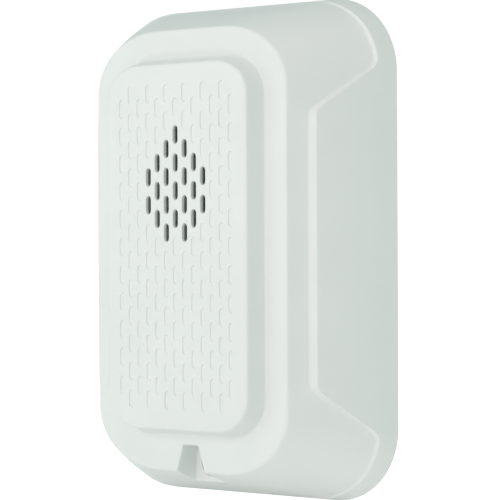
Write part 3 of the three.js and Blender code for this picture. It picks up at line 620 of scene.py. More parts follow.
def add_grille(builder, face_ring, inner_ring):
    lip = SLOT_LIP
    face_holes = []
    inner_holes = []
    for x, z, is_open in grille_slots():
        edge = [
            (SLOT_RADIUS + lip, FRONT),
            (SLOT_RADIUS + lip * 0.3, FRONT - lip * 0.3),
            (SLOT_RADIUS, FRONT - lip),
        ]
        if is_open:
            inner = FRONT - WALL
            flare = SLOT_RADIUS + SLOT_FLARE
            rings = slot_rings(builder, x, z, edge + [
                (SLOT_RADIUS - 0.04, FRONT - SLOT_WALL),
                (flare - 0.1, FRONT - SLOT_WALL - 0.15),
                (flare, inner),
            ])
            inner_holes.append(rings[-1])
        else:
            floor = FRONT - RECESS_DEPTH
            rings = slot_rings(builder, x, z, edge + [
                (SLOT_RADIUS - 0.03, floor + 0.06),
                (SLOT_RADIUS - 0.12, floor),
            ])
            builder.faces.new(rings[-1])
        face_holes.append(rings[0])
    plate_with_holes(builder, face_ring, face_holes, True)
    plate_with_holes(builder, inner_ring, inner_holes, False)


# ---- front housing

def housing_shell():
    """The moulding as one closed surface, before the notch and the inner posts."""
    builder = bmesh.new()
    outside = [outside_line(station)[1:] for station in STATIONS]
    inside = [inside_line(station) for station in STATIONS]
    lines = [a[:-1] + b[:-1] for a, b in zip(outside, inside)]
    rings = [ring_of(builder, [line[i] for line in lines]) for i in range(len(lines[0]))]
    bridge_all(builder, rings)
    add_grille(builder, rings[0], rings[-1])
    return closed(builder)


def notch_outline(lowest, margin=0.0):
    """Outline of the notch: round upper corners, and sides that spread downwards."""
    top = NOTCH_TOP_Z + margin
    round_top = 0.9
    side = []
    for step in range(61):
        z = mix(lowest, top - round_top, step / 60)
        side.append((NOTCH_HALF_WIDTH + margin + (top - round_top - z) * NOTCH_FLARE, z))
    side += arc(NOTCH_HALF_WIDTH + margin - round_top, top - round_top, round_top, 15, 90, 5)
    return side + [(-x, z) for x, z in reversed(side)]


BOTTOM_LINE = outside_line((0, -1, math.radians(270)))


def surface_depth(z):
    """Depth of the outer surface under the pad, on the middle line."""
    for above, below in zip(BOTTOM_LINE, BOTTOM_LINE[1:]):
        if above.z > z >= below.z:
            return mix(above.y, below.y, (above.z - z) / (above.z - below.z))
    return BACK_EDGE


def floor_depth(z):
    return NOTCH_FLOOR + NOTCH_FLOOR_SLOPE * (max(z, -HALF_HEIGHT) - SCREW_Z)


def notch_cutter():
    """The notch's space, with an eased foot and a lip that rounds over into the outer surface."""
    lip = 0.4
    foot = 0.3
    levels = [(-foot - NOTCH_DRAFT, 0, 0), (-NOTCH_DRAFT, foot, 0)]
    for degrees in (0, 25, 50, 75):
        angle = math.radians(degrees)
        levels.append((lip * (1 - math.cos(angle)), None, lip * (1 - math.sin(angle))))
    levels.append((lip * 1.5, None, -lip * 0.2))
    sections = []
    for number, (margin, above_floor, below_lip) in enumerate(levels):
        section = []
        for x, z in notch_outline(-HALF_HEIGHT - 4, margin):
            if above_floor is None:
                depth = max(surface_depth(z) - below_lip, floor_depth(z) + foot + 0.02 * number)
            else:
                depth = floor_depth(z) + above_floor
            section.append((x, depth, z))
        sections.append(section)
    sections.append([(x, FRONT, z) for x, _, z in sections[-1]])
    return prism_object("notch", sections)


def notch_walls():
    """Solid behind the notch, kept inside the thickness of the outer walls."""
    sections = []
    for depth in (NOTCH_FLOOR - WALL, RIM - WALL / 2):
        lowest = WALL / 2 - end_height(depth - BACK_EDGE)
        sections.append([(x, depth, z) for x, z in notch_outline(lowest, WALL)])
    return prism_object("notch walls", sections)


def inner_parts():
    """Screw posts, the sounder's collar, the screw tube and the hinge beads."""
    builder = bmesh.new()
    for x0, z0, radius, end in (COVER_POST, BOARD_POST):
        for x, z in four_corners(x0, z0):
            prism(builder, [round_section(x, z, radius, d) for d in (end, RIM - WALL + 0.5)])
    tube_front = NOTCH_FLOOR - WALL + 0.5
    lowest = WALL / 2 - end_height(tube_front - BACK_EDGE)
    back, front = [round_section(0, SCREW_Z, SCREW_TUBE_RADIUS, d) for d in (SCREW_TUBE_BACK, tube_front)]
    prism(builder, [back, [(x, d, max(z, lowest)) for x, d, z in front]])
    bore, outside = 22.5, 24
    collar = ((bore, COLLAR_BACK), (outside, COLLAR_BACK), (outside, COLLAR_FRONT), (bore, COLLAR_FRONT))
    turned(builder, 0, SOUNDER_Z, collar, 96, hollow=True)
    # each bead has a stem that reaches up into the end wall
    bead = arc(HINGE_DEPTH, HINGE_Z, BEAD_RADIUS, -225, 45, 24)
    bead += [(HINGE_DEPTH + 0.8, HINGE_Z + 1.4), (HINGE_DEPTH - 0.8, HINGE_Z + 1.4)]
    for x in (-HINGE_X, HINGE_X):
        prism(builder, bar_sections(bead, x, BEAD_LENGTH / 2))
    return closed(builder)


def screw_spaces():
    """Counterbore and hole of the captive screw, and the blind holes of the posts."""
    builder = bmesh.new()
    head_space = 3.3
    seat = 15.4
    bore = [round_section(0, SCREW_Z, r, d, 64) for r, d in ((2.15, 0), (2.15, seat), (head_space, seat))]
    # the counterbore's mouth rounds over into the notch's floor
    for wider, rise in ((0, -0.2), (0.06, -0.06), (0.2, 0), (0.4, 0.06)):
        ring = round_section(0, SCREW_Z, head_space + wider, 0, 64)
        bore.append([(x, floor_depth(z) + rise, z) for x, _, z in ring])
    prism(builder, bore)
    # blind holes for the cover's and the board's screws
    for (x0, z0, _, end), radius, tip in ((COVER_POST, 1.6, 15), (BOARD_POST, 1.4, 22)):
        for x, z in four_corners(x0, z0):
            prism(builder, [round_section(x, z, radius, d, 24) for d in (end - 1, tip)])
    return closed(builder)


def make_housing():
    shell = mesh_object("housing shell", housing_shell())
    boolean(shell, mesh_object("inner parts", inner_parts()), "UNION")
    boolean(shell, notch_walls(), "UNION")
    boolean(shell, notch_cutter(), "DIFFERENCE")
    boolean(shell, mesh_object("screw spaces", screw_spaces()), "DIFFERENCE")
    soften(riding_piece("housing", taken(shell), "front_assembly", "housing_plastic", ("front_housing",)))


# ---- materials

def linear(red, green, blue):
    """A colour given as 0-255 screen values."""
    def channel(value):
        v = value / 255
        return v / 12.92 if v <= 0.04045 else ((v + 0.055) / 1.055) ** 2.4
    return (channel(red), channel(green), channel(blue), 1)


def shaded(colour, share):
    return tuple(min(c * share, 1) for c in colour[:3]) + (1,)


def set_inputs(node, values):
    for name, value in values.items():
        node.inputs[name].default_value = value


def add_texture(tree, kind, vector, size):
    """A texture with features of about a size in mm."""
    node = tree.nodes.new("ShaderNodeTex" + kind)
    node.inputs["Scale"].default_value = 1 / (size * MM)
    tree.links.new(vector, node.inputs["Vector"])
    return node


def add_noise(tree, vector, size, detail):
    node = add_texture(tree, "Noise", vector, size)
    node.inputs["Detail"].default_value = detail
    return node.outputs["Fac"]


def add_ramp(tree, factor, dark, light, start=0.3, stop=0.7):
    node = tree.nodes.new("ShaderNodeValToRGB")
    low, high = node.color_ramp.elements
    low.position, low.color = start, dark
    high.position, high.color = stop, light
    tree.links.new(factor, node.inputs["Fac"])
    return node.outputs["Color"]


def add_bump(tree, height, distance, before=None):
    node = tree.nodes.new("ShaderNodeBump")
    set_inputs(node, {"Strength": 1, "Distance": distance * MM})
    tree.links.new(height, node.inputs["Height"])
    if before is not None:
        tree.links.new(before, node.inputs["Normal"])
    return node.outputs["Normal"]


def surface(name, colour, roughness, metallic=0, tone=0.02, tone_size=14, spread=0.05,
            grain_size=0.4, grain_height=0.004, stretched=(1, 1, 1)):
    """A surface with faint patches of tone and gloss, and a fine grain. Sizes are in mm."""
    material = bpy.data.materials.new(name)
    material.use_nodes = True
    tree = material.node_tree
    shader = tree.nodes["Principled BSDF"]
    shader.inputs["Metallic"].default_value = metallic
    mapping = tree.nodes.new("ShaderNodeMapping")
    mapping.name = "place"
    mapping.inputs["Scale"].default_value = stretched
    tree.links.new(tree.nodes.new("ShaderNodeTexCoord").outputs["Object"], mapping.inputs["Vector"])
    where = mapping.outputs["Vector"]
    patches = add_noise(tree, where, tone_size, 3)
    tones = add_ramp(tree, patches, shaded(colour, 1 - tone), shaded(colour, 1 + tone))
    tree.links.new(tones, shader.inputs["Base Color"])
    gloss = tree.nodes.new("ShaderNodeMapRange")
    set_inputs(gloss, {"From Min": 0.3, "From Max": 0.7})
    set_inputs(gloss, {"To Min": roughness - spread, "To Max": roughness + spread})
    tree.links.new(add_noise(tree, where, tone_size * 0.3, 5), gloss.inputs["Value"])
    tree.links.new(gloss.outputs["Result"], shader.inputs["Roughness"])
    grain = add_bump(tree, add_noise(tree, where, grain_size, 6), grain_height)
    tree.links.new(grain, shader.inputs["Normal"])
    return material


def parts_of(material):
    tree = material.node_tree
    shader = tree.nodes["Principled BSDF"]
    return tree, shader, tree.nodes["place"].outputs["Vector"]


def add_relief(tree, shader, height, distance):
    """Raises the surface by a texture, on top of its grain."""
    grain = shader.inputs["Normal"].links[0].from_socket
    tree.links.new(add_bump(tree, height, distance, grain), shader.inputs["Normal"])


def woven_cloth():
    """Black cloth of dull threads."""
    material = surface(
        "dust cloth", linear(26, 27, 29), 0.85, tone=0.25, tone_size=2, grain_size=0.12, grain_height=0.02)
    parts_of(material)[1].inputs["Sheen Weight"].default_value = 0.2
    return material


def cell_foam():
    material = surface("foam", linear(52, 54, 57), 0.92, tone=0.2, tone_size=1.5)
    tree, shader, where = parts_of(material)
    cells = add_texture(tree, "Voronoi", where, 0.45)
    add_relief(tree, shader, cells.outputs["Distance"], 0.08)
    return material


def board_mask():
    """Green solder mask over copper tracks that run in nested square turns."""
    material = surface("solder mask", linear(24, 92, 52), 0.34, tone=0.08, tone_size=6, grain_size=0.25)
    tree, shader, where = parts_of(material)
    upright = tree.nodes.new("ShaderNodeMapping")
    upright.inputs["Rotation"].default_value = (math.radians(90), 0, 0)
    tree.links.new(where, upright.inputs["Vector"])
    cells = add_texture(tree, "Voronoi", upright.outputs["Vector"], 11)
    cells.voronoi_dimensions = "2D"
    cells.distance = "CHEBYCHEV"
    mask = linear(22, 88, 50)
    copper = linear(52, 134, 78)
    tracks = add_ramp(tree, cells.outputs["Distance"], mask, mask, 0, 1)
    stops = tracks.node.color_ramp.elements
    for middle in (0.17, 0.29, 0.41, 0.53):
        for offset, colour in ((-0.035, mask), (-0.025, copper), (0.025, copper), (0.035, mask)):
            stops.new(middle + offset).color = colour
    tree.links.new(tracks, shader.inputs["Base Color"])
    add_relief(tree, shader, tracks, 0.3)
    shader.inputs["Coat Weight"].default_value = 0.3
    return material


def wound_tape():
    """Film tape wound in overlapping turns."""
    material = surface("winding tape", linear(214, 178, 62), 0.36, tone=0.06, tone_size=3, grain_size=0.3)
    tree, shader, where = parts_of(material)
    turns = add_texture(tree, "Wave", where, 5)
    turns.bands_direction = "Y"
    turns.inputs["Distortion"].default_value = 0.6
    add_relief(tree, shader, turns.outputs["Fac"], 0.05)
    return material


def make_looks():
    """One material for each slot of the record."""
    plastic = {"tone": 0.012, "tone_size": 22, "spread": 0.04}
    metal = {"metallic": 1, "tone": 0.06, "tone_size": 3, "spread": 0.08}
    return {
        "housing_plastic": surface(
            "housing plastic", linear(231, 235, 232), 0.5, grain_size=0.35, grain_height=0.0035, **plastic),
        "cover_plastic": surface(
            "cover plastic", linear(224, 227, 222), 0.46, grain_height=0.003, **plastic),
        "plate_plastic": surface(
            "plate plastic", linear(226, 228, 222), 0.5, grain_height=0.004, **plastic),
        "dust_mesh": woven_cloth(),
        "black_plastic": surface("black plastic", linear(36, 37, 39), 0.48, tone=0.1, tone_size=8),
        "foam": cell_foam(),
        "brass": surface("brass", linear(206, 168, 96), 0.3, stretched=(1, 1, 6), **metal),
        "piezo_ceramic": surface(
            "silvered ceramic", linear(214, 211, 202), 0.42, tone=0.03, tone_size=4, spread=0.1),
        "board_laminate": board_mask(),
        "ferrite": surface(
            "ferrite", linear(62, 62, 65), 0.66, tone=0.12, tone_size=1.5, grain_height=0.02),
        "winding_tape": wound_tape(),
        "capacitor_sleeve": surface("capacitor sleeve", linear(30, 34, 58), 0.28, tone=0.08, tone_size=5),
        "selector_plastic": surface(
            "selector plastic", linear(222, 218, 206), 0.45, tone=0.03, tone_size=5),
        "zinc_steel": surface(
            "zinc plated steel", linear(196, 198, 200), 0.32, grain_size=0.15, grain_height=0.003, **metal),
        "spring_steel": surface("spring steel", linear(186, 187, 190), 0.26, stretched=(8, 1, 1), **metal),
        "terminal_plastic": surface("terminal plastic", linear(44, 46, 50), 0.5, tone=0.08, tone_size=7),
        "lead_red": surface("red lead", linear(176, 34, 28), 0.42, tone=0.06, tone_size=4),
        "lead_black": surface("black lead", linear(30, 30, 32), 0.42, tone=0.1, tone_size=4),
    }


LOOKS = make_looks()


# ---- building the other pieces

def finished(node, builder, slot, sharp_degrees=32):
    """Makes the piece that stands for a CAD node and rides where the node rides."""
    body = body_of(nodes[node])[0]
    soften(riding_piece(node + "_finish", closed(builder), body, slot, (node,)), sharp_degrees)


def shaped(node, slot, base, joined=(), removed=(), sharp_degrees=32):
    """Builds a piece from a base solid, solids joined to it, and solids cut from it."""
    for tool in joined:
        boolean(base, tool, "UNION")
    for tool in removed:
        boolean(base, tool, "DIFFERENCE")
    finished(node, taken(base), slot, sharp_degrees)


def refined(node, slot, ease, segments=2):
    """A CAD node's own solid, with its facets merged and its edges rounded."""
    builder = bmesh.new()
    builder.from_mesh(nodes[node].data)
    bmesh.ops.remove_doubles(builder, verts=builder.verts, dist=0.002 * MM)
    bmesh.ops.dissolve_limit(
        builder, angle_limit=math.radians(1), verts=builder.verts, edges=builder.edges, delimit=set())
    edges = [e for e in builder.edges if e.is_manifold and e.calc_face_angle(0) > math.radians(25)]
    bmesh.ops.bevel(
        builder, geom=edges, offset=ease * MM, offset_type="OFFSET", segments=segments, profile=0.5,
        affect="EDGES", clamp_overlap=True)
    finished(node, builder, slot)


def ring_piece(node, slot, x, z, corners, reach, sides=96):
    builder = bmesh.new()
    turned(builder, x, z, eased_profile(corners, reach), sides, hollow=True)
    finished(node, builder, slot)


def node_limits(node):
    """Lowest and highest x, depth and z of a CAD node, in mm."""
    low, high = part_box(node)
    return (low.x / MM, high.x / MM), (-high.y / MM, -low.y / MM), (low.z / MM, high.z / MM)


def round_node(node):
    """Middle x and z, radius, and lowest and highest depth of a round CAD node, in mm."""
    (x0, x1), (back, front), (z0, z1) = node_limits(node)
    return (x0 + x1) / 2, (z0 + z1) / 2, (x1 - x0) / 2, back, front


def node_middle(node):
    return round_node(node)[:2]


# ---- screws

def thread_rings(x, z, radius, height, tip, end, pitch, point):
    """Sections of a threaded shank from its tip, with the thread faded out at both ends."""
    length = abs(end - tip)
    count = math.ceil(length / pitch * STEPS_PER_TURN)
    rings = []
    for i in range(count + 1):
        run = length * i / count
        fade = smooth_step(0, pitch, run) * (1 - smooth_step(length - pitch, length, run))
        taper = mix(1 - point, 1, smooth_step(0, 2.2 * pitch, run))

        def crest(turn):
            wave = 0.5 + 0.5 * math.cos(2 * math.pi * run / pitch - turn)
            return (radius - height * mix(1, 1 - wave, fade)) * taper

        rings.append(wavy_section(x, z, crest, mix(tip, end, i / count), THREAD_SIDES))
    return rings


def pan_head(x, z, radius, seat, top):
    """Sections of a pan head from its seat to its crown."""
    profile = (
        (0.94, 0), (1, 0.08), (1, 0.45), (0.96, 0.68), (0.86, 0.86), (0.66, 0.97), (0.3, 1), (0.04, 1),
    )
    return [
        round_section(x, z, radius * share, mix(seat, top, rise), THREAD_SIDES) for share, rise in profile
    ]


def cross_recess(x, z, reach, half, top, depth_in):
    """Cutter for a cross recess that narrows towards its floor."""
    def cross(share, depth):
        a, w = reach * share, half * mix(0.7, 1, share)
        quarter = [(a, -w), (a, w), (w, w)]
        points = []
        for c, s in ((1, 0), (0, 1), (-1, 0), (0, -1)):
            points += [(x + px * c - pz * s, depth, z + px * s + pz * c) for px, pz in quarter]
        return points
    outward = math.copysign(1, top - depth_in)
    return prism_object("cross recess", [
        cross(0.45, depth_in), cross(1, top + outward * 0.05), cross(1.05, top + outward),
    ])


def straight_slot(x, z, reach, half, top, depth_in):
    """Cutter for a driver slot that runs upright."""
    low, high = sorted((depth_in, top + math.copysign(1, top - depth_in)))
    return solid("straight slot", (box_at(x, z, half, reach, 0.1), low, high))


def screw_piece(node, x, z, thread, head, recess):
    """thread: radius, height, tip, end, pitch, point. head: radius, seat, top. recess: a cutter."""
    radius, height, _, end, _, _ = thread
    head_radius, seat, top = head
    neck = round_section(x, z, radius - height, mix(end, seat, 0.98), THREAD_SIDES)
    sections = thread_rings(x, z, *thread) + [neck] + pan_head(x, z, head_radius, seat, top)
    shaped(node, "zinc_steel", prism_object(node, sections), removed=[recess], sharp_degrees=38)


def make_pointed_screw(node, radius):
    """Screw of the rear cover or the board, driven in from the back."""
    x, z, head_radius, back, tip = round_node(node)
    seat = back + head_radius / 2
    thread = (radius, 0.22, tip, seat + 1.2, 0.95, 0.75)
    recess = cross_recess(x, z, 1.4, 0.35, back, back + 0.85)
    screw_piece(node, x, z, thread, (head_radius, seat, back), recess)


def make_terminal_screw(node):
    x, z, head_radius, tip, top = round_node(node)
    seat = top - 1.75
    thread = (1.45, 0.16, tip, seat - 0.2, 0.6, 0.15)
    recess = straight_slot(x, z, 3.4, 0.4, top, top - 0.9)
    screw_piece(node, x, z, thread, (head_radius, seat, top), recess)


def make_captive_screw(node):
    _, _, head_radius, tip, top = round_node(node)
    thread = (1.75, 0.2, tip, tip + 5.6, 0.7, 0.35)
    recess = cross_recess(0, SCREW_Z, 1.6, 0.4, top, top - 1)
    screw_piece(node, 0, SCREW_Z, thread, (head_radius, top - 2, top), recess)


def make_screws():
    for number in range(1, 5):
        make_pointed_screw(f"cover_screw_{number}", 1.3)
        make_pointed_screw(f"board_screw_{number}", 1.1)
        make_terminal_screw(f"terminal_screw_{number}")
    make_captive_screw("captive_screw")


# ---- sounder

def woven_screen():
    """Two sets of threads that pass over and under each other, inside a thin bound edge."""
    _, _, radius, back, front = round_node("dust_screen")
    middle = (back + front) / 2
    pitch = 0.95
    thread = 0.09
    swing = (front - back) / 2 - thread
    inner = radius - 0.8
    edge = [(inner, back), (radius, back), (radius, front), (inner, front)]
    builder = bmesh.new()
    turned(builder, 0, SOUNDER_Z, eased_profile(edge, 0.06), 96, hollow=True)
    corners = ((-thread, 0), (0, -thread), (thread, 0), (0, thread))
    count = int((radius - 0.5) / pitch)
    for row in range(-count, count + 1):
        across = row * pitch
        reach = math.sqrt((radius - 0.4) ** 2 - across ** 2)
        steps = max(int(2 * reach / pitch * 3), 6)
        for upright in (False, True):
            sections = []
            for step in range(steps + 1):
                along = mix(-reach, reach, step / steps)
                phase = math.pi * (along / pitch + row + (1 if upright else 0))
                depth = middle + swing * math.cos(phase)
                if upright:
                    sections.append([(across + a, depth + d, SOUNDER_Z + along) for a, d in corners])
                else:
                    sections.append([(along, depth + d, SOUNDER_Z + across + a) for a, d in corners])
            prism(builder, sections)
    finished("dust_screen", builder, "dust_mesh", 60)


def make_sounder():
    woven_screen()
    _, _, outer, back, front = round_node("sounder_chamber")
    piezo = 20.3
    seat = piezo + 0.3
    shelf = 23.6
    wall = 1.5
    bore = piezo - wall
    mouth = 6
    ring_piece("sounder_chamber", "black_plastic", 0, SOUNDER_Z, [
        (mouth, front), (mouth, front - wall), (bore, front - wall), (bore, shelf),
        (seat, shelf), (seat, back), (outer, back), (outer, front),
    ], 0.15)
    for node, slot, inner in (("piezo_gasket", "foam", piezo - 1.4),
                              ("sounder_retainer", "black_plastic", piezo - 1.6)):
        _, _, r, back, front = round_node(node)
        ring_piece(node, slot, 0, SOUNDER_Z, [(inner, back), (r, back), (r, front), (inner, front)], 0.12)
    for node, slot in (("piezo_brass_disc", "brass"), ("piezo_ceramic", "piezo_ceramic")):
        _, _, r, back, front = round_node(node)
        builder = bmesh.new()
        slab(builder, disc_at(0, SOUNDER_Z, r, 96), back, front)
        finished(node, builder, slot)
    for slot in ("lead_red", "lead_black"):
        refined("piezo_" + slot, slot, 0.02, 1)


# ---- board

def make_board():
    (_, half_width), (back, front), (_, half_height) = node_limits("circuit_board")
    base = solid("board", (box_at(0, 0, half_width, half_height, 2), back, front, 0.06))
    holes = [(disc_at(x, z, 1.4, 32), back - 1, front + 1) for x, z in four_corners(*BOARD_POST[:2])]
    shaped("circuit_board", "board_laminate", base, removed=[solid("board holes", *holes)])
    refined("transformer_core", "ferrite", 0.12)
    for number in (1, 2):
        refined(f"transformer_winding_{number}", "winding_tape", 0.12)
    for node in ("power_transistor", "controller_chip"):
        refined(node, "black_plastic", 0.12)
    refined("selector_body", "terminal_plastic", 0.12)
    for number in (1, 2):
        make_capacitor(f"capacitor_{number}")


def make_capacitor(node):
    """Sleeved can with a groove round its foot and a sunken top."""
    x, z, r, back, front = round_node(node)
    builder = bmesh.new()
    turned(builder, x, z, [
        (0.05, back), (r - 0.25, back), (r, back + 0.2), (r, back + 0.9), (r - 0.35, back + 1.25),
        (r - 0.4, back + 1.5), (r - 0.35, back + 1.75), (r, back + 2.1), (r, front - 0.4),
        (r - 0.15, front - 0.1), (r - 0.5, front), (r - 0.7, front - 0.05), (r - 0.8, front - 0.3),
        (0.05, front - 0.3),
    ])
    finished(node, builder, "capacitor_sleeve")


def make_selector(node):
    """Knob with a driver slot in its back, and a short shaft ahead of it."""
    x, z, knob, back, tip = round_node(node)
    front = tip - 2.5
    shaft = 1.2
    builder = bmesh.new()
    turned(builder, x, z, [
        (0.05, back), (knob - 0.4, back), (knob - 0.12, back + 0.1), (knob, back + 0.4),
        (knob, front - 0.2), (knob - 0.2, front), (shaft, front), (shaft, tip - 0.2),
        (shaft - 0.2, tip), (0.05, tip),
    ])
    base = mesh_object(node, closed(builder))
    slot = straight_slot(x, z, knob + 0.3, 0.5, back, back + 1.2)
    shaped(node, "selector_plastic", base, removed=[slot])


# ---- rear cover

def make_rear_cover():
    (_, half_width), (back, _), (_, half_height) = node_limits("rear_cover")
    front = back + 2
    outline = (half_width, half_height, 19.5)
    lip = 1.8
    base = solid("cover", (panel(*outline), back, front, 0.35))
    rim = solid("cover lip", (panel(*outline, lip), back + 1, front + 2.4, 0.2))
    hollow = solid("cover lip space", (panel(*outline, lip + 1.5), front, front + 6))
    pocket = box_at(0, POCKET_Z, POCKET_HALF_WIDTH, POCKET_HALF_HEIGHT, 0.8)
    block = box_at(0, POCKET_Z, POCKET_HALF_WIDTH + 1.5, POCKET_HALF_HEIGHT + 1.5, 2)
    boolean(base, rim, "UNION")
    boolean(base, hollow, "DIFFERENCE")
    boolean(base, solid("pocket block", (block, back + 1, 14.3, 0.3)), "UNION")
    behind, ahead = -2, 25  # depths clear of the cover on both sides
    posts = four_corners(*COVER_POST[:2])
    pins = [node_middle(f"contact_pin_{number}") for number in range(1, 5)]
    rotor_x, rotor_z = node_middle("selector_rotor")
    tube = SCREW_TUBE_RADIUS + 0.3
    shaped("rear_cover", "cover_plastic", base, removed=[
        solid("pocket", (pocket, back - 3, 12.8, 0.3)),
        solid("pin holes", *[(box_at(x, z, 0.9, 2, 0.2), 9, 20) for x, z in pins]),
        solid("screw holes", *[(disc_at(x, z, 1.6, 32), back - 2, front + 5) for x, z in posts]),
        solid("screw seats", *[(disc_at(x, z, 3.2, 48), back - 2, back + 0.8) for x, z in posts]),
        solid("ring space", (slot_at(0, SCREW_Z - 8, 3.9, 8), behind, ahead)),
        solid("tube space", (slot_at(0, SCREW_Z - 8, tube, 8), SCREW_TUBE_BACK - 0.3, ahead)),
        solid("rotor hole", (disc_at(rotor_x, rotor_z, 3.8), behind, ahead)),
    ])
    for number in range(1, 5):
        refined(f"contact_pin_{number}", "brass", 0.08)


# ---- mounting plate

def cradle_solid(x):
    """Hook under one hinge bead: an arc round the hinge line."""
    outline = arc(HINGE_DEPTH, HINGE_Z, CRADLE_BORE + CRADLE_WALL, -25, -155, 16)
    outline += arc(HINGE_DEPTH, HINGE_Z, CRADLE_BORE, -155, -25, 16)
    return prism_object("cradle", bar_sections(outline, x, CRADLE_HALF_LENGTH))


def cradle_bore(x):
    outline = disc_at(HINGE_DEPTH, HINGE_Z, CRADLE_BORE, 32)(0)
    return prism_object("cradle bore", bar_sections(outline, x, CRADLE_HALF_LENGTH + 0.5))


def cradle_foot(x, low):
    high = HINGE_Z - (CRADLE_BORE + CRADLE_WALL) * 0.62
    outline = box_at(x, (low + high) / 2, CRADLE_HALF_LENGTH, (high - low) / 2, 0.2)
    return solid("cradle foot", (outline, 0.1, PLATE_FACE, 0.1))


def make_mounting_plate():
    half_width = node_limits("mounting_plate")[0][1]
    half_height = 65
    outline = (half_width, half_height, 20)
    rim = 1.6
    base = solid("plate", (panel(*outline), 0, 3.5, 0.3))
    boolean(base, solid("plate tray", (panel(*outline, rim), PLATE_FACE, 9, 0.25)), "DIFFERENCE")
    insert_x, insert_z = node_middle("threaded_insert")
    boss = solid("boss", (disc_at(insert_x, insert_z, 5), 0.3, 3.3, 0.2))
    trim = solid("boss trim", (box_at(0, -half_height - 5, 20, 5, 0.1), -3, 12))
    boolean(boss, trim, "DIFFERENCE")
    joined = [boss]
    for x in (-HINGE_X, HINGE_X):
        joined += [cradle_foot(x, half_height - 3), cradle_solid(x)]
    box_screws = [(x, z) for x in (-BOX_SCREW_X, 0, BOX_SCREW_X) for z in (-BOX_SCREW_Z, BOX_SCREW_Z)]
    box_screws += [(-BOX_SCREW_Z, 0), (BOX_SCREW_Z, 0)]
    behind, ahead = -2, 6  # depths clear of the plate on both sides
    shaped("mounting_plate", "plate_plastic", base, joined, [
        solid("wire opening", (box_at(0, 20, 20, 14, 3), behind, ahead)),
        solid("box screw slots", *[(slot_at(x, z, 2, 2.6), behind, ahead) for x, z in box_screws]),
        solid("insert hole", (disc_at(insert_x, insert_z, 2.95, 48), 0.45, 9)),
        cradle_bore(-HINGE_X),
        cradle_bore(HINGE_X),
    ])


def make_insert(node):
    """Brass insert with a thread inside and a knurl outside."""
    x, z, outer, back, front = round_node(node)
    bore = 2.1
    pitch = 0.7
    sides = 96
    steps = 28
    builder = bmesh.new()
    rings = []

    def ring(depth, radius_at):
        rings.append(ring_of(builder, wavy_section(x, z, radius_at, depth, sides)))

    def knurl(turn):
        return outer - 0.12 * (0.5 + 0.5 * math.cos(24 * turn))

    ring(back, lambda turn: outer - 0.35)
    ring(back + 0.25, lambda turn: outer - 0.12)
    for share in (0.15, 0.4, 0.45, 0.55, 0.6, 0.85):
        in_groove = 0.45 <= share <= 0.55
        ring(mix(back, front, share), (lambda turn: outer - 0.3) if in_groove else knurl)
    ring(front - 0.25, lambda turn: outer - 0.12)
    ring(front, lambda turn: outer - 0.35)
    for step in range(steps + 1):
        depth = mix(front, back, step / steps)
        run = (front - depth) / pitch
        fade = smooth_step(0, 0.25, run) * smooth_step(0, 0.25, (depth - back) / pitch)
        mouth = 0.22 * (1 - fade)
        ring(depth, lambda turn: bore + mouth + 0.14 * fade * math.cos(2 * math.pi * run - turn))
    bridge_all(builder, rings + rings[:1])
    finished(node, builder, "brass")


# ---- terminals

def make_terminals():
    (_, half_width), (back, front), (z0, z1) = node_limits("terminal_block")
    contact_z = node_middle("contact_clip_1")[1]
    screw_z = node_middle("terminal_screw_1")[1]
    centres = [node_middle(f"terminal_screw_{number}")[0] for number in range(1, 5)]
    base = solid("block", (box_at(0, (z0 + z1) / 2, half_width, (z1 - z0) / 2, 0.8), back, front, 0.3))
    clamp_low, clamp_high = z0 - 3, -21.8
    well = (4.2, (clamp_high - clamp_low) / 2, 0.4)
    well_z = (clamp_low + clamp_high) / 2
    clear = 15  # a depth past the block's front
    shaped("terminal_block", "terminal_plastic", base, removed=[
        solid("clamp wells", *[(box_at(x, well_z, *well), 5.4, clear, 0.1) for x in centres]),
        solid("contact wells", *[(box_at(x, contact_z, 1.6, 2.7), 5, clear, 0.1) for x in centres]),
        solid("screw holes", *[(disc_at(x, screw_z, 1.75, 32), back + 0.4, clear) for x in centres]),
    ])
    for number in range(1, 5):
        make_clamp(f"terminal_clamp_{number}")
        refined(f"contact_clip_{number}", "brass", 0.08)
    refined("shorting_spring", "spring_steel", 0.08)


def make_clamp(node):
    """Square clamp plate with ridges across its back face that bite the wire."""
    x, z, half, back, front = round_node(node)
    base = solid(node, (box_at(x, z, half, half, 0.6), back, front, 0.12))
    grooves = [(box_at(x, z + offset, half + 1, 0.12, 0.05), back - 1, back + 0.25, 0.02)
               for offset in (-2.7, -2.2, 2.2, 2.7)]
    hole = solid("clamp hole", (disc_at(x, z, 1.75, 40), back - 2, front + 2))
    shaped(node, "zinc_steel", base, removed=[solid("grooves", *grooves), hole])


def make_ring(node):
    x, z, outer, back, front = round_node(node)
    bore = 2.05
    profile = [(bore, back), (outer, back), (outer, front), (bore, front)]
    ring_piece(node, "black_plastic", x, z, profile, 0.12, 64)


make_housing()
make_sounder()
make_board()
make_selector("selector_rotor")
make_rear_cover()
make_mounting_plate()
make_insert("threaded_insert")
make_terminals()
make_screws()
make_ring("screw_retaining_ring")
for node in nodes.values():
    node.data.materials.clear()
    node.data.materials.append(LOOKS["plate_plastic"])


# ---- stage, camera and light

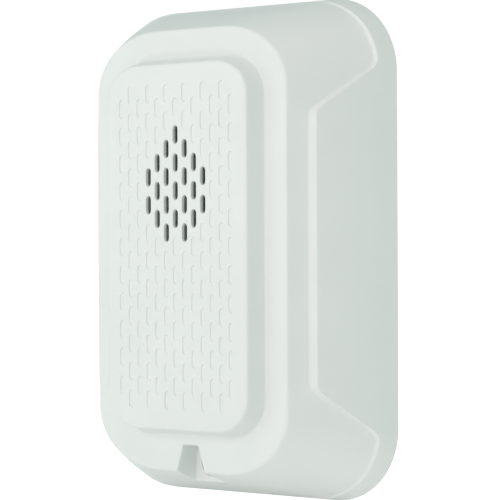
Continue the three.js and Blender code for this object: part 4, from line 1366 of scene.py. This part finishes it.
def make_camera():
    azimuth = math.radians(CAMERA_AZIMUTH)
    elevation = math.radians(CAMERA_ELEVATION)
    back = Vector((
        math.sin(azimuth) * math.cos(elevation),
        -math.cos(azimuth) * math.cos(elevation),
        math.sin(elevation),
    ))
    data = bpy.data.cameras.new("camera")
    camera = linked("camera", data)
    camera.location = place(0, BACK_EDGE, 0) + back * CAMERA_DISTANCE
    roll = Matrix.Rotation(math.radians(CAMERA_ROLL), 4, "Z").to_quaternion()
    camera.rotation_mode = "QUATERNION"
    camera.rotation_quaternion = (-back).to_track_quat("-Z", "Y") @ roll
    data.sensor_width = 36
    data.lens = CAMERA_LENS
    data.shift_x = CAMERA_SHIFT
    data.clip_start = 0.01
    data.clip_end = 30
    bpy.context.scene.camera = camera


def seen_by_camera(tree, usual, seen):
    """A shader that the camera sees as one thing while reflected and bounced light meets the usual one."""
    path = tree.nodes.new("ShaderNodeLightPath")
    blend = tree.nodes.new("ShaderNodeMixShader")
    tree.links.new(path.outputs["Is Camera Ray"], blend.inputs[0])
    tree.links.new(usual, blend.inputs[1])
    tree.links.new(seen, blend.inputs[2])
    return blend.outputs[0]


def floor_paint():
    material = bpy.data.materials.new("floor paint")
    material.use_nodes = True
    tree = material.node_tree
    shader = tree.nodes["Principled BSDF"]
    set_inputs(shader, {"Base Color": (0.8, 0.8, 0.8, 1), "Roughness": 0.9})
    set_inputs(shader, {"Emission Color": FLOOR_COLOUR, "Emission Strength": FLOOR_GLOW})
    lift = tree.nodes.new("ShaderNodeEmission")
    lift.inputs["Strength"].default_value = FLOOR_LIFT
    both = tree.nodes.new("ShaderNodeAddShader")
    tree.links.new(shader.outputs[0], both.inputs[0])
    tree.links.new(lift.outputs[0], both.inputs[1])
    blend = seen_by_camera(tree, shader.outputs[0], both.outputs[0])
    tree.links.new(blend, tree.nodes["Material Output"].inputs["Surface"])
    return material


def make_floor():
    """A wide pale floor just under the object, which the camera sees run into the white backdrop."""
    level = cad_box[0].z / MM - FLOOR_GAP
    builder = bmesh.new()
    rings = []
    for share in (0.02, 0.1, 0.4, 1):
        circle = round_section(0, 0, FLOOR_RADIUS * share, 0, 96)
        rings.append(ring_of(builder, [(x, -y, level) for x, _, y in circle]))
    bridge_all(builder, rings)
    builder.faces.new(rings[0])
    floor = mesh_object("floor", closed(builder))
    floor.data.materials.append(floor_paint())


def make_world():
    """A white backdrop for the camera, and a softer light of the same sky on the object."""
    world = bpy.data.worlds.new("studio")
    bpy.context.scene.world = world
    world.use_nodes = True
    tree = world.node_tree
    light = tree.nodes["Background"]
    set_inputs(light, {"Color": SKY_COLOUR, "Strength": SKY_STRENGTH})
    backdrop = tree.nodes.new("ShaderNodeBackground")
    set_inputs(backdrop, {"Color": (1, 1, 1, 1), "Strength": BACKDROP_STRENGTH})
    blend = seen_by_camera(tree, light.outputs[0], backdrop.outputs[0])
    tree.links.new(blend, tree.nodes["World Output"].inputs["Surface"])


def make_light(name, location, size, power, colour):
    data = bpy.data.lights.new(name, "AREA")
    data.shape = "SQUARE"
    data.size = size
    data.energy = power
    data.color = colour
    lamp = linked(name, data)
    lamp.location = location
    lamp.rotation_mode = "QUATERNION"
    lamp.rotation_quaternion = (-lamp.location).to_track_quat("-Z", "Y")


make_camera()
make_floor()
make_world()
make_light("key", (0.2, -1.25, 0.35), 0.8, 5.1, (1, 0.765, 0.795))
make_light("left", (-0.9, -1, 0.3), 0.8, 2.3, (0.89, 1, 1))
make_light("top", (0.1, -0.5, 1.3), 1.0, 3.4, (1, 0.73, 0.7))
make_light("back", (0.1, 1.3, 0.5), 1.0, 5.5, (1, 0.74, 0.75))
bpy.context.scene.view_settings.view_transform = "Standard"
